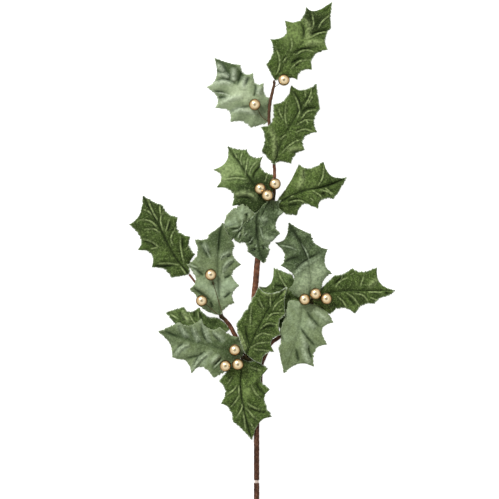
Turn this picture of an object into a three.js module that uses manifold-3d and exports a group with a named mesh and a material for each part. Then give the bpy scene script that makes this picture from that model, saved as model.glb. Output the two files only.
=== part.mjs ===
// Holly sprig: velvet leaves and gold beads on a tape-wrapped wire stem, lying on a table.
// Millimetres. X runs to the right, Y along the stem to the crown leaf, Z up from the table.
import * as THREE from 'three';
import { mergeVertices } from 'three/addons/utils/BufferGeometryUtils.js';
import Module from 'manifold-3d';

const wasm = await Module();
wasm.setup();

// Driving dimensions
const sprigLength = 627;
const leafThickness = 1.0;
const leafBaseWidth = 3.2;
const leafTipWidth = 1.2;
const beadDiameter = 14.8;
const footRadius = 3.2;
const coreRadius = 1.7;
const coreLength = 150;
const coreClearance = 0.3;
const stalkRadius = 1.1;
const stalkLead = 2.5;
const beadWireRadius = 0.7;
const wireEndGap = 0.5;

// Facets: sides of a tube are 2 more than a multiple of 4, so that its lowest side lies flat
const leafRows = 20;
const fewestArcRows = 3;
const leafColumns = [-1, -0.68, -0.34, 0, 0.34, 0.68, 1];
const tubeSides = 10;
const tubeStepsPerSpan = 3;
const wireSides = 6;
const wireStepLength = 6;
const fewestWireSteps = 4;
const beadSegments = 10;
const beadRings = 8;
const ribSamples = 60;
const weldDistance = 1e-4;

// Places are read on the photograph, in its pixels, and turned into millimetres
const crownRow = 1.8;
const cutEndRow = 503;
const middleColumn = 262.6;
const middleRow = (crownRow + cutEndRow) / 2;
const pixelSize = sprigLength / (cutEndRow - crownRow);

const place = (column, row, height = 0) => new THREE.Vector3(
  (column - middleColumn) * pixelSize, (middleRow - row) * pixelSize, height);

// The foot of the stem is straight and lies on the table; its wrapping breaks between two rows
const footColumn = 256.6;
const footHeight = footRadius * Math.cos(Math.PI / tubeSides);
const wrapBreak = { upperRow: 479.3, lowerRow: 483.3 };

// Leaves. Left and right are as seen from the base, looking to the tip. Each side runs from the
// base to the tip as notch, spine, notch, spine ... notch: an arc leads through each notch.
// Heights are millimetres above the table; arch, left and right bend the blade, wave pleats it.
const leafPlans = {
  crown_leaf: {
    base: [275, 80], tip: [332.3, 1.8], rib: [[286, 63], [308, 36]],
    left: [[270, 71.5], [266.2, 64.3], [272.8, 52.5], [270.8, 39.8], [285, 35], [284.8, 20.8],
      [299, 20.8], [306.2, 7], [316, 10.8]],
    right: [[289.5, 77.8], [297, 79.8], [301.5, 71.2], [312.2, 69.8], [313.2, 56.5], [327.8, 49.8],
      [325.2, 38.5], [331.3, 28.3], [330.4, 18]],
    height: { base: 10.5, tip: 0.5, arch: 9, left: -3, right: -2 }, wave: 1.6,
    stalk: { stem: 'main_stem', from: [274.2, 84, 9.6] },
  },
  upper_left_leaf: {
    base: [268.5, 121.5], tip: [214.5, 57.8], rib: [[254, 106], [236, 84]],
    left: [[259, 125], [250.5, 127.5], [243.5, 121.7], [229.8, 121.8], [228.8, 110.5],
      [214.5, 108.3], [217.5, 97.5], [206.2, 87.3], [216.3, 77]],
    right: [[269.8, 108], [269.2, 97.5], [264.6, 94.5], [263.6, 83.4], [255.3, 83], [253.3, 73],
      [244.8, 73.8], [240.4, 65], [229, 62.8]],
    height: { base: 5.9, tip: 1.5, arch: 3, left: -2.5, right: -1 }, wave: 1.8,
    stalk: { stem: 'main_stem', from: [269.5, 127, 8.5] },
  },
  upper_right_leaf: {
    base: [274.3, 164.5], tip: [316.5, 83.8], rib: [[281.5, 142], [296, 116]],
    left: [[267, 157], [261.7, 151.2], [264.6, 139.5], [261.3, 127.5], [272, 121.8],
      [273.2, 104.6], [285.8, 99], [291.3, 85.3], [302, 90.2]],
    right: [[279.5, 161.4], [291.4, 163.4], [294.8, 154.8], [304.8, 150.3], [303.3, 138.3],
      [316.9, 132], [314, 120.5], [319.9, 109.5], [318, 97]],
    height: { base: 11.8, tip: 5, arch: 6, left: 0.5, right: -3 }, wave: 1.6,
    stalk: { stem: 'main_stem', from: [274.2, 169, 9.2] },
  },
  middle_left_leaf: {
    base: [270.5, 205], tip: [227.8, 146.3], rib: [[258, 190], [243, 170]],
    left: [[263.5, 211.8], [252.8, 213.6], [243, 206.5], [232.3, 205.6], [231.8, 191.8], [217, 187],
      [221.5, 176.3], [213, 169.9], [226.3, 161.5]],
    right: [[273.4, 192], [273.4, 175], [261.3, 168.5], [262.2, 157.2], [252, 156.6],
      [246.4, 149.4], [238.5, 149.6]],
    height: { base: 5.2, tip: 1.5, arch: 3.5, left: -1.5, right: -2.4 }, wave: 1.4,
    stalk: { stem: 'main_stem', from: [268.8, 211, 8.2] },
  },
  middle_right_leaf: {
    base: [275.9, 203.9], tip: [346.7, 177.3], rib: [[303, 191], [326, 186.5]],
    left: [[289, 184], [299, 164.3], [310.5, 168.2], [323.2, 161.2], [331.5, 176]],
    right: [[282.5, 212.3], [297, 214.8], [303.6, 204.4], [318, 208.8], [321.7, 200],
      [333.3, 198.8], [339.8, 189.5]],
    height: { base: 8.4, tip: 1.5, arch: 5.5, left: -2, right: -2.5 }, wave: 1.6,
    stalk: { stem: 'main_stem', from: [271, 207, 8.6] },
  },
  middle_drooping_leaf: {
    base: [270, 200.3], tip: [264, 262.8], rib: [[259.5, 222], [258.5, 243]],
    left: [[276, 201], [281.3, 200.3], [278.8, 206.5], [283, 212.5], [276, 223], [280, 233.8],
      [270.5, 242.5], [269.6, 250], [267.3, 256.5]],
    right: [[257.5, 211.5], [242, 226], [243.5, 233], [239, 241.4], [246.4, 243.8],
      [247.3, 251.3], [254.5, 256.2]],
    height: { base: 12.8, tip: 13.4, arch: 3.5, left: 0.3, right: -1.2 }, wave: 1.0,
    stalk: { stem: 'main_stem', from: [273.6, 195, 9] },
  },
  middle_low_leaf: {
    base: [257, 218], tip: [223.5, 228], rib: [[248, 221], [236, 224.5]],
    left: [[251.5, 232], [246.5, 243.2], [243, 241.7], [239.8, 243.3], [234.5, 240],
      [229, 240.5], [225.3, 235.5]],
    right: [[253, 212], [243, 204.2], [236.5, 207.5], [231, 210.6], [225.8, 218]],
    height: { base: 9.2, tip: 8.6, arch: 1.2, left: -1, right: 0.6 }, wave: 0.8,
    stalk: { stem: 'main_stem', from: [266.4, 217, 8.6] },
  },
  left_center_leaf: {
    base: [220, 314.5], tip: [222.9, 223], rib: [[218.4, 285], [218, 256]],
    left: [[208, 311.5], [199, 305], [197, 296.5], [189.3, 289.2], [196, 278.5], [186.5, 264.8],
      [197, 255], [195, 239.5], [206, 239.3], [208.3, 235.3], [215.5, 230]],
    right: [[225.3, 307.9], [234, 302.8], [232.5, 293.5], [239, 285.3], [232, 274.5],
      [241, 264.3], [233.3, 256], [234.3, 244.5], [228.3, 234]],
    height: { base: 10.4, tip: 12, arch: 4, left: -0.5, right: -3 }, wave: 1.3,
    stalk: { stem: 'left_branch', from: [222, 318.5, 8] },
  },
  left_tip_leaf: {
    base: [188.8, 274], tip: [142.8, 195.8], rib: [[175, 257], [158.5, 225]],
    left: [[180, 275.9], [171.3, 277.8], [164.5, 269.3], [151.4, 267.7], [151.3, 253.8],
      [137.8, 249.8], [140.5, 238.5], [129.8, 224.6], [139.6, 213.5]],
    right: [[190, 262], [195, 254.2], [189.3, 246.5], [190, 236.6], [178.2, 230.8],
      [177.8, 216.6], [167, 213.3], [162.5, 204.5], [154.5, 202.3]],
    height: { base: 6.4, tip: 0.5, arch: 5, left: -4.5, right: -2 }, wave: 1.5,
    stalk: { stem: 'left_branch', from: [197, 284.6, 6.5] },
  },
  left_under_leaf: {
    base: [229.5, 329], tip: [165.8, 313.2], rib: [[206, 322], [184, 316]],
    left: [[222, 334], [212, 336], [203, 330], [192, 333], [184, 326.5], [176.5, 325.5],
      [171, 319.5]],
    right: [[222, 320.5], [214, 317], [206, 315.8], [199.2, 307.2], [190.5, 312], [184, 307.2],
      [174.5, 309.6]],
    height: { base: 3.4, tip: 0.5, arch: 0.6, left: -2.5, right: 1 }, wave: 1.2,
    stalk: { stem: 'left_branch', from: [234.5, 334.5, 5.6] },
  },
  lower_left_leaf: {
    base: [243.5, 353.6], tip: [158.3, 331.8], rib: [[214, 347], [184, 338.5]],
    left: [[232, 366], [213.8, 378], [202.5, 366.8], [191.3, 373.5], [186.8, 362],
      [172, 357.8], [169.8, 343.8]],
    right: [[241, 342], [238.5, 336.8], [230.5, 335.2], [220.3, 326.8], [209.5, 329.5],
      [201, 318.8], [190.5, 325.5], [178, 322.8], [169, 327]],
    height: { base: 10.6, tip: 1, arch: 3, left: -3, right: -0.5 }, wave: 1.8,
    stalk: { stem: 'left_branch', from: [246.5, 354.5, 6.6] },
  },
  lower_bottom_leaf: {
    base: [242.6, 359.4], tip: [251.8, 439.6], rib: [[240.8, 385], [244, 410]],
    left: [[248, 361.4], [256.2, 359.8], [262, 364.6], [268, 368], [260.8, 379.5], [270, 389.2],
      [264.3, 400], [272, 416.3], [259.5, 422]],
    right: [[230, 368.5], [219.3, 381.3], [225.4, 391.5], [221, 403.3], [230, 409.5],
      [232.5, 421], [242.3, 429.3]],
    height: { base: 9, tip: 7.6, arch: 3.5, left: -1.5, right: -5 }, wave: 1.5,
    stalk: { stem: 'left_branch', from: [248.8, 358, 6] },
  },
  lower_right_leaf: {
    base: [246.5, 354.5], tip: [286.8, 287.2], rib: [[256, 333], [269, 308]],
    left: [[240, 340], [236, 323.2], [247.8, 307.2], [258.4, 287.2], [270, 293.4]],
    right: [[253.4, 359.8], [261.4, 363.3], [264.7, 354.4], [273.5, 351.2], [271, 341],
      [280.5, 334.8], [279, 322.5], [285.4, 314.3], [284.4, 301.5]],
    height: { base: 13, tip: 12.6, arch: 3.5, left: 2.5, right: 0 }, wave: 1.5,
    stalk: { stem: 'main_stem', from: [254.8, 362, 5] },
  },
  right_back_leaf: {
    base: [302.5, 300.5], tip: [259.2, 287], rib: [[288, 297], [273, 292]],
    left: [[295, 315], [282, 333], [275, 320], [264, 309], [264, 297]],
    right: [[298, 288], [292, 275], [284, 272], [274, 267.5], [270.5, 284]],
    height: { base: 3.8, tip: 2.5, arch: 0.5, left: -1.5, right: 0.5 }, wave: 0.9,
    stalk: { stem: 'right_branch', from: [306.6, 302.6, 6.8] },
  },
  right_upper_leaf: {
    base: [309.5, 299], tip: [288.8, 222.8], rib: [[310.5, 274], [303, 246]],
    left: [[297, 296.3], [289.2, 289], [294, 276.5], [280.8, 265.5], [284.8, 254.8],
      [275.3, 242.6], [285.5, 238.3]],
    right: [[317, 293], [321.5, 288], [323.6, 280.2], [331.3, 273.3], [324.5, 262.5],
      [327.6, 249.5], [315.3, 244], [311, 234], [301, 230]],
    height: { base: 10.6, tip: 4, arch: 4.5, left: -2, right: -1 }, wave: 1.4,
    stalk: { stem: 'right_branch', from: [307, 304.5, 7] },
  },
  right_tip_leaf: {
    base: [310.5, 299.5], tip: [395.3, 290.5], rib: [[340, 291], [367, 291]],
    left: [[323.5, 286.4], [335, 275], [343.5, 273.8], [352.5, 267.6], [361.5, 271.9],
      [377, 267.2], [380, 283]],
    right: [[314, 307.3], [330.4, 314], [342, 307.6], [355, 313.6], [363.5, 304.5],
      [374.5, 303.8], [380, 298.5], [389, 295.7], [391.8, 293.2]],
    height: { base: 7.6, tip: 0.5, arch: 5.5, left: -1.5, right: -3 }, wave: 1.8,
    stalk: { stem: 'right_branch', from: [307.6, 301.4, 7.2] },
  },
  right_lower_leaf: {
    base: [303, 303], tip: [284, 373.4], rib: [[299.5, 328], [293, 350]],
    left: [[323, 309.3], [333.2, 322.3], [322, 329.5], [327.3, 344.3], [315.5, 349.8],
      [313.8, 366.5], [298, 363.8]],
    right: [[294, 300.6], [288.5, 301.2], [285, 316], [279.3, 332], [281.3, 340], [278.3, 347],
      [280.8, 358]],
    height: { base: 10.7, tip: 3.4, arch: 4, left: -3, right: 1.4 }, wave: 0.9,
    stalk: { stem: 'right_branch', from: [307.4, 301.6, 7] },
  },
};

// Stems: each point is a column, a row, a height and a radius
const stemRoutes = {
  main_stem: [
    [footColumn, wrapBreak.upperRow, footHeight, footRadius],
    [footColumn, 440, footHeight, footRadius], [footColumn, 400, footHeight, footRadius],
    [footColumn, 372, footHeight, footRadius],
    [255.4, 345, 3.8, 3.3], [254.4, 320, 5.6, 3.5], [254.3, 297, 7, 3.55],
    [255.8, 281, 7.6, 3.55], [257.8, 259, 8, 3.5], [263.5, 232, 8.4, 3.0],
    [269.5, 212, 8.6, 2.3], [273.6, 198, 8.8, 1.9], [274.6, 180, 9, 1.85],
    [274.1, 164, 9, 1.8], [271.4, 142, 9, 1.75], [269, 119, 9, 1.75], [270, 103.6, 9, 1.8],
    [272.2, 93, 9.2, 1.75], [274.8, 82, 9.6, 1.4],
  ],
  left_branch: [
    [250.8, 368, 4, 2.4], [249, 360, 4.5, 2.8], [243.2, 347, 5.4, 2.8], [235.4, 336, 5.8, 2.3],
    [229.5, 325, 6.6, 2.1], [221.5, 316, 7.6, 1.9], [210, 301, 6.8, 1.3], [195, 282, 6.4, 1.1],
  ],
  right_branch: [
    [260.9, 384, 3, 1.9], [261, 373, 3.4, 1.9], [262, 364, 4.6, 2.1], [265.3, 355.6, 5.4, 2.2],
    [271, 343.5, 5.4, 2.2], [280.4, 336.4, 5.4, 2.0], [293, 323, 6, 1.8], [308.4, 300.6, 7.2, 1.6],
  ],
};

// Beads: column, row and height of the centre, then two points of the wire from its stem
const beadPlans = [
  { at: [283.8, 80.3, 19.9], stem: 'main_stem', wire: [[273.4, 88, 9.4], [276.5, 86, 12]] },
  { at: [254.7, 104.8, 17.4], stem: 'main_stem', wire: [[269.2, 122, 9.2], [262, 117, 11.5]] },
  { at: [274.9, 184, 19], stem: 'main_stem', wire: [[274.3, 190, 9], [274.6, 187.5, 10.6]] },
  { at: [260.2, 188.8, 16.2], stem: 'main_stem', wire: [[274, 194, 9], [267.5, 192, 10.5]] },
  { at: [267.4, 195.6, 25.2], stem: 'main_stem', wire: [[274.2, 192, 9], [272.4, 193.5, 12.5]] },
  { at: [210.9, 274.6, 24.4], stem: 'left_branch', wire: [[224.5, 319.5, 7.2], [222.6, 314, 16.5]] },
  { at: [201.8, 300.5, 20.9], stem: 'left_branch', wire: [[223.5, 318.4, 7.4], [216.6, 313.2, 14.8]] },
  { at: [234.8, 349.6, 22.4], stem: 'left_branch', wire: [[249, 359, 5.6], [243.5, 357.5, 13.5]] },
  { at: [225.5, 365.6, 19.4], stem: 'left_branch', wire: [[249, 359.5, 5.6], [242.5, 358.6, 12]] },
  { at: [237.9, 364, 22.9], stem: 'left_branch', wire: [[249.3, 360, 5.6], [245, 359.8, 12]] },
  { at: [304.4, 299.2, 20.4], stem: 'right_branch', wire: [[307.8, 301.4, 7], [306.5, 301.2, 11]] },
  { at: [315.2, 293.6, 22.4], stem: 'right_branch', wire: [[308.2, 300.8, 7.2], [312.8, 300.4, 12.5]] },
  { at: [326.1, 298.5, 19.4], stem: 'right_branch', wire: [[308.2, 300.8, 7.2], [313.5, 301, 11.5]] },
];

// The rib of a leaf as a flat curve from base to tip
const ribCurve = (plan) => new THREE.CatmullRomCurve3(
  [plan.base, ...plan.rib, plan.tip].map(([column, row]) => place(column, row)));

const sideways = (direction) => new THREE.Vector3(direction.y, -direction.x, 0).normalize();

// Share of the rib's length from which a spine points outward, between its two notches
function veinRoot(rib, spine, before, after) {
  const axis = before.clone().add(after).multiplyScalar(-0.5).add(spine).normalize();
  const inLine = (share) => rib.getPoint(share).sub(spine).normalize().dot(axis);
  let root = 0;
  for (let k = 1; k <= ribSamples; k += 1) {
    if (inLine(k / ribSamples) < inLine(root)) root = k / ribSamples;
  }
  return root;
}

// One side of a leaf: a point for each row, and how far that row is from notch (0) to spine (1)
function leafEdge(plan, rib, side) {
  const outward = side === 'right' ? 1 : -1;
  const start = rib.getPoint(0).addScaledVector(
    sideways(rib.getTangent(0)), outward * leafBaseWidth / 2);
  const end = rib.getPoint(1).addScaledVector(
    sideways(rib.getTangent(1)), outward * leafTipWidth / 2);
  const marks = plan[side].map(([column, row]) => place(column, row));
  const notches = marks.filter((mark, index) => index % 2 === 0);
  const spines = marks.filter((mark, index) => index % 2 === 1);
  const corners = [start, ...spines, end];

  // The row at which each spine stands, halfway between its own root and an even spread
  const stops = [0];
  spines.forEach((spine, index) => {
    const root = veinRoot(rib, spine, notches[index], notches[index + 1]);
    const even = (index + 1) / (spines.length + 1);
    const wished = Math.round((root + even) / 2 * leafRows);
    const latest = leafRows - fewestArcRows * (spines.length - index);
    stops.push(Math.min(Math.max(wished, stops[index] + fewestArcRows), latest));
  });
  stops.push(leafRows);

  const rows = [];
  for (let arc = 0; arc < notches.length; arc += 1) {
    const from = corners[arc];
    const to = corners[arc + 1];
    const pull = notches[arc].clone().multiplyScalar(2)
      .addScaledVector(from, -0.5).addScaledVector(to, -0.5);
    const curve = new THREE.QuadraticBezierCurve3(from, pull, to);
    const steps = stops[arc + 1] - stops[arc];
    for (let k = arc === 0 ? 0 : 1; k <= steps; k += 1) {
      rows.push({ point: curve.getPoint(k / steps), spine: Math.abs(2 * k / steps - 1) });
    }
  }
  return rows;
}

// Height of the middle of the blade; across runs from -1 at the left edge to 1 at the right one.
// The bend and the pleats of the edges fade out towards the base and the tip.
function bladeHeight(plan, along, across, spine) {
  const { base, tip, arch, left, right } = plan.height;
  const body = 1 - (2 * along - 1) ** 4;
  const edge = across < 0 ? left : right;
  const height = base + (tip - base) * along + arch * Math.sin(Math.PI * along)
    + edge * across ** 2 * body + plan.wave * across ** 2 * (2 * spine - 1) * body;
  return Math.max(height, leafThickness / 2);
}

function leafGeometry(plan) {
  const rib = ribCurve(plan);
  const edges = { left: leafEdge(plan, rib, 'left'), right: leafEdge(plan, rib, 'right') };
  const points = [];
  for (const half of [1, -1]) {
    for (let row = 0; row <= leafRows; row += 1) {
      const along = row / leafRows;
      const middle = rib.getPoint(along);
      for (const across of leafColumns) {
        const edge = edges[across < 0 ? 'left' : 'right'][row];
        const point = middle.clone().lerp(edge.point, Math.abs(across));
        point.z = bladeHeight(plan, along, across, edge.spine) + half * leafThickness / 2;
        points.push(point);
      }
    }
  }

  const wide = leafColumns.length;
  const lower = wide * (leafRows + 1);
  const faces = [];
  for (let row = 0; row < leafRows; row += 1) {
    for (let column = 0; column < wide - 1; column += 1) {
      const a = row * wide + column;
      const b = a + 1;
      const c = a + wide;
      const d = c + 1;
      faces.push(a, b, c, b, d, c);
      faces.push(lower + a, lower + c, lower + b, lower + b, lower + c, lower + d);
    }
  }
  const rim = [];
  for (let column = 0; column < wide; column += 1) rim.push(column);
  for (let row = 1; row <= leafRows; row += 1) rim.push(row * wide + wide - 1);
  for (let column = wide - 2; column >= 0; column -= 1) rim.push(leafRows * wide + column);
  for (let row = leafRows - 1; row > 0; row -= 1) rim.push(row * wide);
  rim.forEach((here, index) => {
    const next = rim[(index + 1) % rim.length];
    faces.push(here, lower + here, next, next, lower + here, lower + next);
  });

  const geometry = new THREE.BufferGeometry().setFromPoints(points);
  geometry.setIndex(faces);
  return geometry;
}

// A closed tube with a radius for each point of its route, cut off level with the table
function taperedTube(route, radii, sides, steps) {
  const curve = new THREE.CatmullRomCurve3(route);
  const up = new THREE.Vector3(0, 0, 1);
  const points = [];
  for (let k = 0; k <= steps; k += 1) {
    const share = k / steps * (route.length - 1);
    const before = Math.min(Math.floor(share), route.length - 2);
    const radius = THREE.MathUtils.lerp(radii[before], radii[before + 1], share - before);
    const tangent = curve.getTangent(k / steps);
    const across = tangent.clone().cross(up).normalize();
    const rise = across.clone().cross(tangent).normalize();
    for (let j = 0; j < sides; j += 1) {
      const angle = j * 2 * Math.PI / sides;
      const point = curve.getPoint(k / steps)
        .addScaledVector(across, radius * Math.cos(angle))
        .addScaledVector(rise, radius * Math.sin(angle));
      points.push(point.setZ(Math.max(point.z, 0)));
    }
  }
  const faces = [];
  for (let k = 0; k < steps; k += 1) {
    for (let j = 0; j < sides; j += 1) {
      const a = k * sides + j;
      const b = k * sides + (j + 1) % sides;
      faces.push(a, a + sides, b, b, a + sides, b + sides);
    }
  }
  const last = steps * sides;
  for (let j = 1; j < sides - 1; j += 1) {
    faces.push(0, j, j + 1, last, last + j + 1, last + j);
  }
  const geometry = new THREE.BufferGeometry().setFromPoints(points);
  geometry.setIndex(faces);
  return geometry;
}

// A thin wire or stalk, from a stem to the point where it meets its leaf or bead
function wireGeometry(points, radius) {
  const curve = new THREE.CatmullRomCurve3(points);
  const steps = Math.max(fewestWireSteps, Math.round(curve.getLength() / wireStepLength));
  return taperedTube(curve.getPoints(steps), Array(steps + 1).fill(radius), wireSides, steps);
}

function stalkGeometry(plan) {
  const rib = ribCurve(plan);
  const leafBase = rib.getPoint(0).setZ(plan.height.base);
  const inward = rib.getTangent(0);
  const end = leafBase.clone().addScaledVector(inward, -wireEndGap);
  const lead = leafBase.clone().addScaledVector(inward, -wireEndGap - stalkLead);
  return wireGeometry([place(...plan.stalk.from), lead, end], stalkRadius);
}

function beadWireGeometry(plan) {
  const centre = place(...plan.at);
  const [root, bend] = plan.wire.map((point) => place(...point));
  const below = bend.clone().sub(centre).normalize();
  const end = centre.clone().addScaledVector(below, beadDiameter / 2 + wireEndGap);
  return wireGeometry([root, bend, end], beadWireRadius);
}

function toManifold(geometry) {
  const plain = geometry.clone();
  plain.deleteAttribute('normal');
  plain.deleteAttribute('uv');
  const welded = mergeVertices(plain, weldDistance);
  return new wasm.Manifold(new wasm.Mesh({
    numProp: 3,
    vertProperties: new Float32Array(welded.attributes.position.array),
    triVerts: new Uint32Array(welded.index.array),
  }));
}

function toGeometry(solid) {
  const mesh = solid.getMesh();
  const geometry = new THREE.BufferGeometry();
  geometry.setAttribute('position', new THREE.BufferAttribute(mesh.vertProperties, 3));
  geometry.setIndex(new THREE.BufferAttribute(mesh.triVerts, 1));
  return geometry;
}

// A stem joined with the leaf stalks and bead wires that spring from it
function stemSolid(name) {
  const route = stemRoutes[name];
  let solid = toManifold(taperedTube(
    route.map(([column, row, height]) => place(column, row, height)),
    route.map((point) => point[3]), tubeSides, tubeStepsPerSpan * (route.length - 1)));
  for (const plan of Object.values(leafPlans)) {
    if (plan.stalk.stem === name) solid = solid.add(toManifold(stalkGeometry(plan)));
  }
  for (const plan of beadPlans) {
    if (plan.stem === name) solid = solid.add(toManifold(beadWireGeometry(plan)));
  }
  return solid;
}

// A straight tube on the axis of the foot, between two rows
function footTube(fromRow, toRow, radius) {
  const ends = [place(footColumn, fromRow, footHeight), place(footColumn, toRow, footHeight)];
  return taperedTube(ends, [radius, radius], tubeSides, 1);
}

const sprig = new THREE.Group();
sprig.name = 'holly_sprig';

function addPiece(name, geometry, material) {
  geometry.computeVertexNormals();
  const mesh = new THREE.Mesh(geometry, material);
  mesh.name = name;
  sprig.add(mesh);
}

const velvet = () => new THREE.MeshStandardMaterial({ color: 0x55703a, roughness: 0.95 });
const tape = () => new THREE.MeshStandardMaterial({ color: 0x5a3c30, roughness: 0.85 });
const core = () => new THREE.MeshStandardMaterial({ color: 0xe6d8c6, roughness: 0.7 });
const gold = () => new THREE.MeshStandardMaterial({
  color: 0xd8b070, roughness: 0.25, metalness: 0.9,
});

for (const [name, plan] of Object.entries(leafPlans)) addPiece(name, leafGeometry(plan), velvet());

beadPlans.forEach((plan, index) => {
  const bead = new THREE.SphereGeometry(beadDiameter / 2, beadSegments, beadRings);
  bead.rotateX(Math.PI / 2);
  bead.translate(...place(...plan.at).toArray());
  addPiece(`bead_${String(index + 1).padStart(2, '0')}`, bead, gold());
});

// The pale core shows in the break of the wrapping and runs on inside the stem, in a bore
const coreTopRow = cutEndRow - coreLength / pixelSize;
const coreBore = toManifold(footTube(
  cutEndRow + 1, coreTopRow - coreClearance / pixelSize, coreRadius + coreClearance));
const footWrap = toManifold(footTube(cutEndRow, wrapBreak.lowerRow, footRadius));
addPiece('main_stem', toGeometry(stemSolid('main_stem').subtract(coreBore)), tape());
addPiece('left_branch', toGeometry(stemSolid('left_branch')), tape());
addPiece('right_branch', toGeometry(stemSolid('right_branch')), tape());
addPiece('stem_core', footTube(cutEndRow, coreTopRow, coreRadius), core());
addPiece('foot_wrap', toGeometry(footWrap.subtract(coreBore)), tape());

export default sprig;
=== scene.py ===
# Holly sprig: velvet leaves and gold beads on a tape-wrapped wire stem, laid on a pale table.
import math

import bmesh
import bpy
import numpy as np
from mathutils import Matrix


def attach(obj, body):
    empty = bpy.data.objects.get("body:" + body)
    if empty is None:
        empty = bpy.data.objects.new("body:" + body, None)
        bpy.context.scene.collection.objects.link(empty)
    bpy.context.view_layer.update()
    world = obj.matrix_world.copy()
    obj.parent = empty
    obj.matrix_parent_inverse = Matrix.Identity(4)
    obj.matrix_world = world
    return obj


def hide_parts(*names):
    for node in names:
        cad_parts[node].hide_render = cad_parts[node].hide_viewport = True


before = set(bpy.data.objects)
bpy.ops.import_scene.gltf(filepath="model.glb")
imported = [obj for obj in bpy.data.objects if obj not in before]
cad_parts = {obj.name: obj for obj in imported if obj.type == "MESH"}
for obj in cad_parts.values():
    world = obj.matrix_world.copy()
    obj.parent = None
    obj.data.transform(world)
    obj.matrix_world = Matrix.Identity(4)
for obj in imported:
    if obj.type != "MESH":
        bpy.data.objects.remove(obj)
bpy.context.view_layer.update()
print("frame loaded:", len(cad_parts), "nodes")

mm = 0.001

# Places are read on the photograph in pixels, heights above the table are in millimetres
photo = {
    "side": 499,
    "crownRow": 1.8,
    "cutEndRow": 503,
    "middleColumn": 262.6,
    "sprigLength": 627 * mm,
}
photo["middleRow"] = (photo["crownRow"] + photo["cutEndRow"]) / 2
pixelSize = photo["sprigLength"] / (photo["cutEndRow"] - photo["crownRow"])


def place(column, row, height=0):
    return np.array([
        (column - photo["middleColumn"]) * pixelSize,
        (photo["middleRow"] - row) * pixelSize,
        height * mm,
    ])


# Leaves. Left and right are as seen from the base, looking to the tip: notch, spine, notch ...
# Height is that of the base and tip and the rise of the arch and sides, and wave is the rise of the
# spines, in millimetres. Midrib and crumple say how deep the rib is pressed and how crushed the nap is.
# Veins are thin pale ridges, ridges are broad folds painted with highlight, creases are grooves between
# them painted with shade.
# Patches are painted light (+) and painted shade (-) on folds, under beads and where leaves overlap, and
# the wide ones also set a leaf's own tone: column, row, reach, strength.
leafShape = {
    "rows": 160,
    "columns": 72,
    "cadRows": 20,     # rows of the solid leaf, between which these rows lie
    "arcRows": 3,      # least rows of the solid leaf from one spine to the next
    "thickness": 1.0 * mm,
    "baseWidth": 3.2 * mm,
    "tipWidth": 1.2 * mm,
    "ribSteps": 60,    # steps along the rib where the root of each spine is looked for
    "endShare": 0.01,  # share of the rib that gives its direction at each end
}

leaves = {}
leaves["crown_leaf"] = {
    "velvet": "deepGreen",
    "base": (275, 80), "tip": (332.3, 1.8), "rib": [(286, 63), (308, 36)],
    "left": [
        (270, 71.5), (266.2, 64.3), (272.8, 52.5), (270.8, 39.8), (285, 35), (284.8, 20.8), (299, 20.8),
        (306.2, 7), (316, 10.8),
    ],
    "right": [
        (289.5, 77.8), (297, 79.8), (301.5, 71.2), (312.2, 69.8), (313.2, 56.5), (327.8, 49.8),
        (325.2, 38.5), (331.3, 28.3), (330.4, 18),
    ],
    "height": {"base": 10.5, "tip": 0.5, "arch": 9, "left": -3, "right": -2},
    "wave": 1.6, "midrib": 0.35, "crumple": 0.35,
    "veins": [
        [(330, 32), (320, 33), (310, 38.5)], [(316, 52.5), (305, 50.5), (295, 55.5)],
        [(311, 60), (300, 61.5), (290, 69.5)], [(274.5, 45), (279.5, 58), (279, 69), (276, 75)],
        [(311.5, 11), (313.5, 25), (311, 31)], [(331, 14), (322, 22), (318, 29)],
        [(283, 63), (287, 57)], [(291, 38), (292, 45), (290, 52)],
    ],
    "ridges": [[(325, 42.5), (311, 43), (305, 45)], [(303.5, 18), (308.5, 27), (308, 37), (305, 40)]],
    "creases": [
        [(330, 30), (314, 33), (309, 37)], [(318, 47.5), (300, 50), (295, 54)],
        [(303, 58), (297, 60), (290, 64)], [(299, 64), (295, 66)], [(301, 22), (304, 31), (303, 40)],
    ],
    "patches": [
        (296, 29, 13, 0.75), (306, 41, 9, 0.6), (288, 40, 9, 0.45), (308, 15, 8, -1.2),
        (312, 26, 7, -0.9), (279, 50, 9, -0.4), (296, 54, 8, -0.5), (282, 67, 9, 0.15),
        (321, 22, 8, -1), (326, 45, 6, 0.4), (307, 64, 8, 0.1), (304, 68, 7, 0.2),
    ],
}
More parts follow.
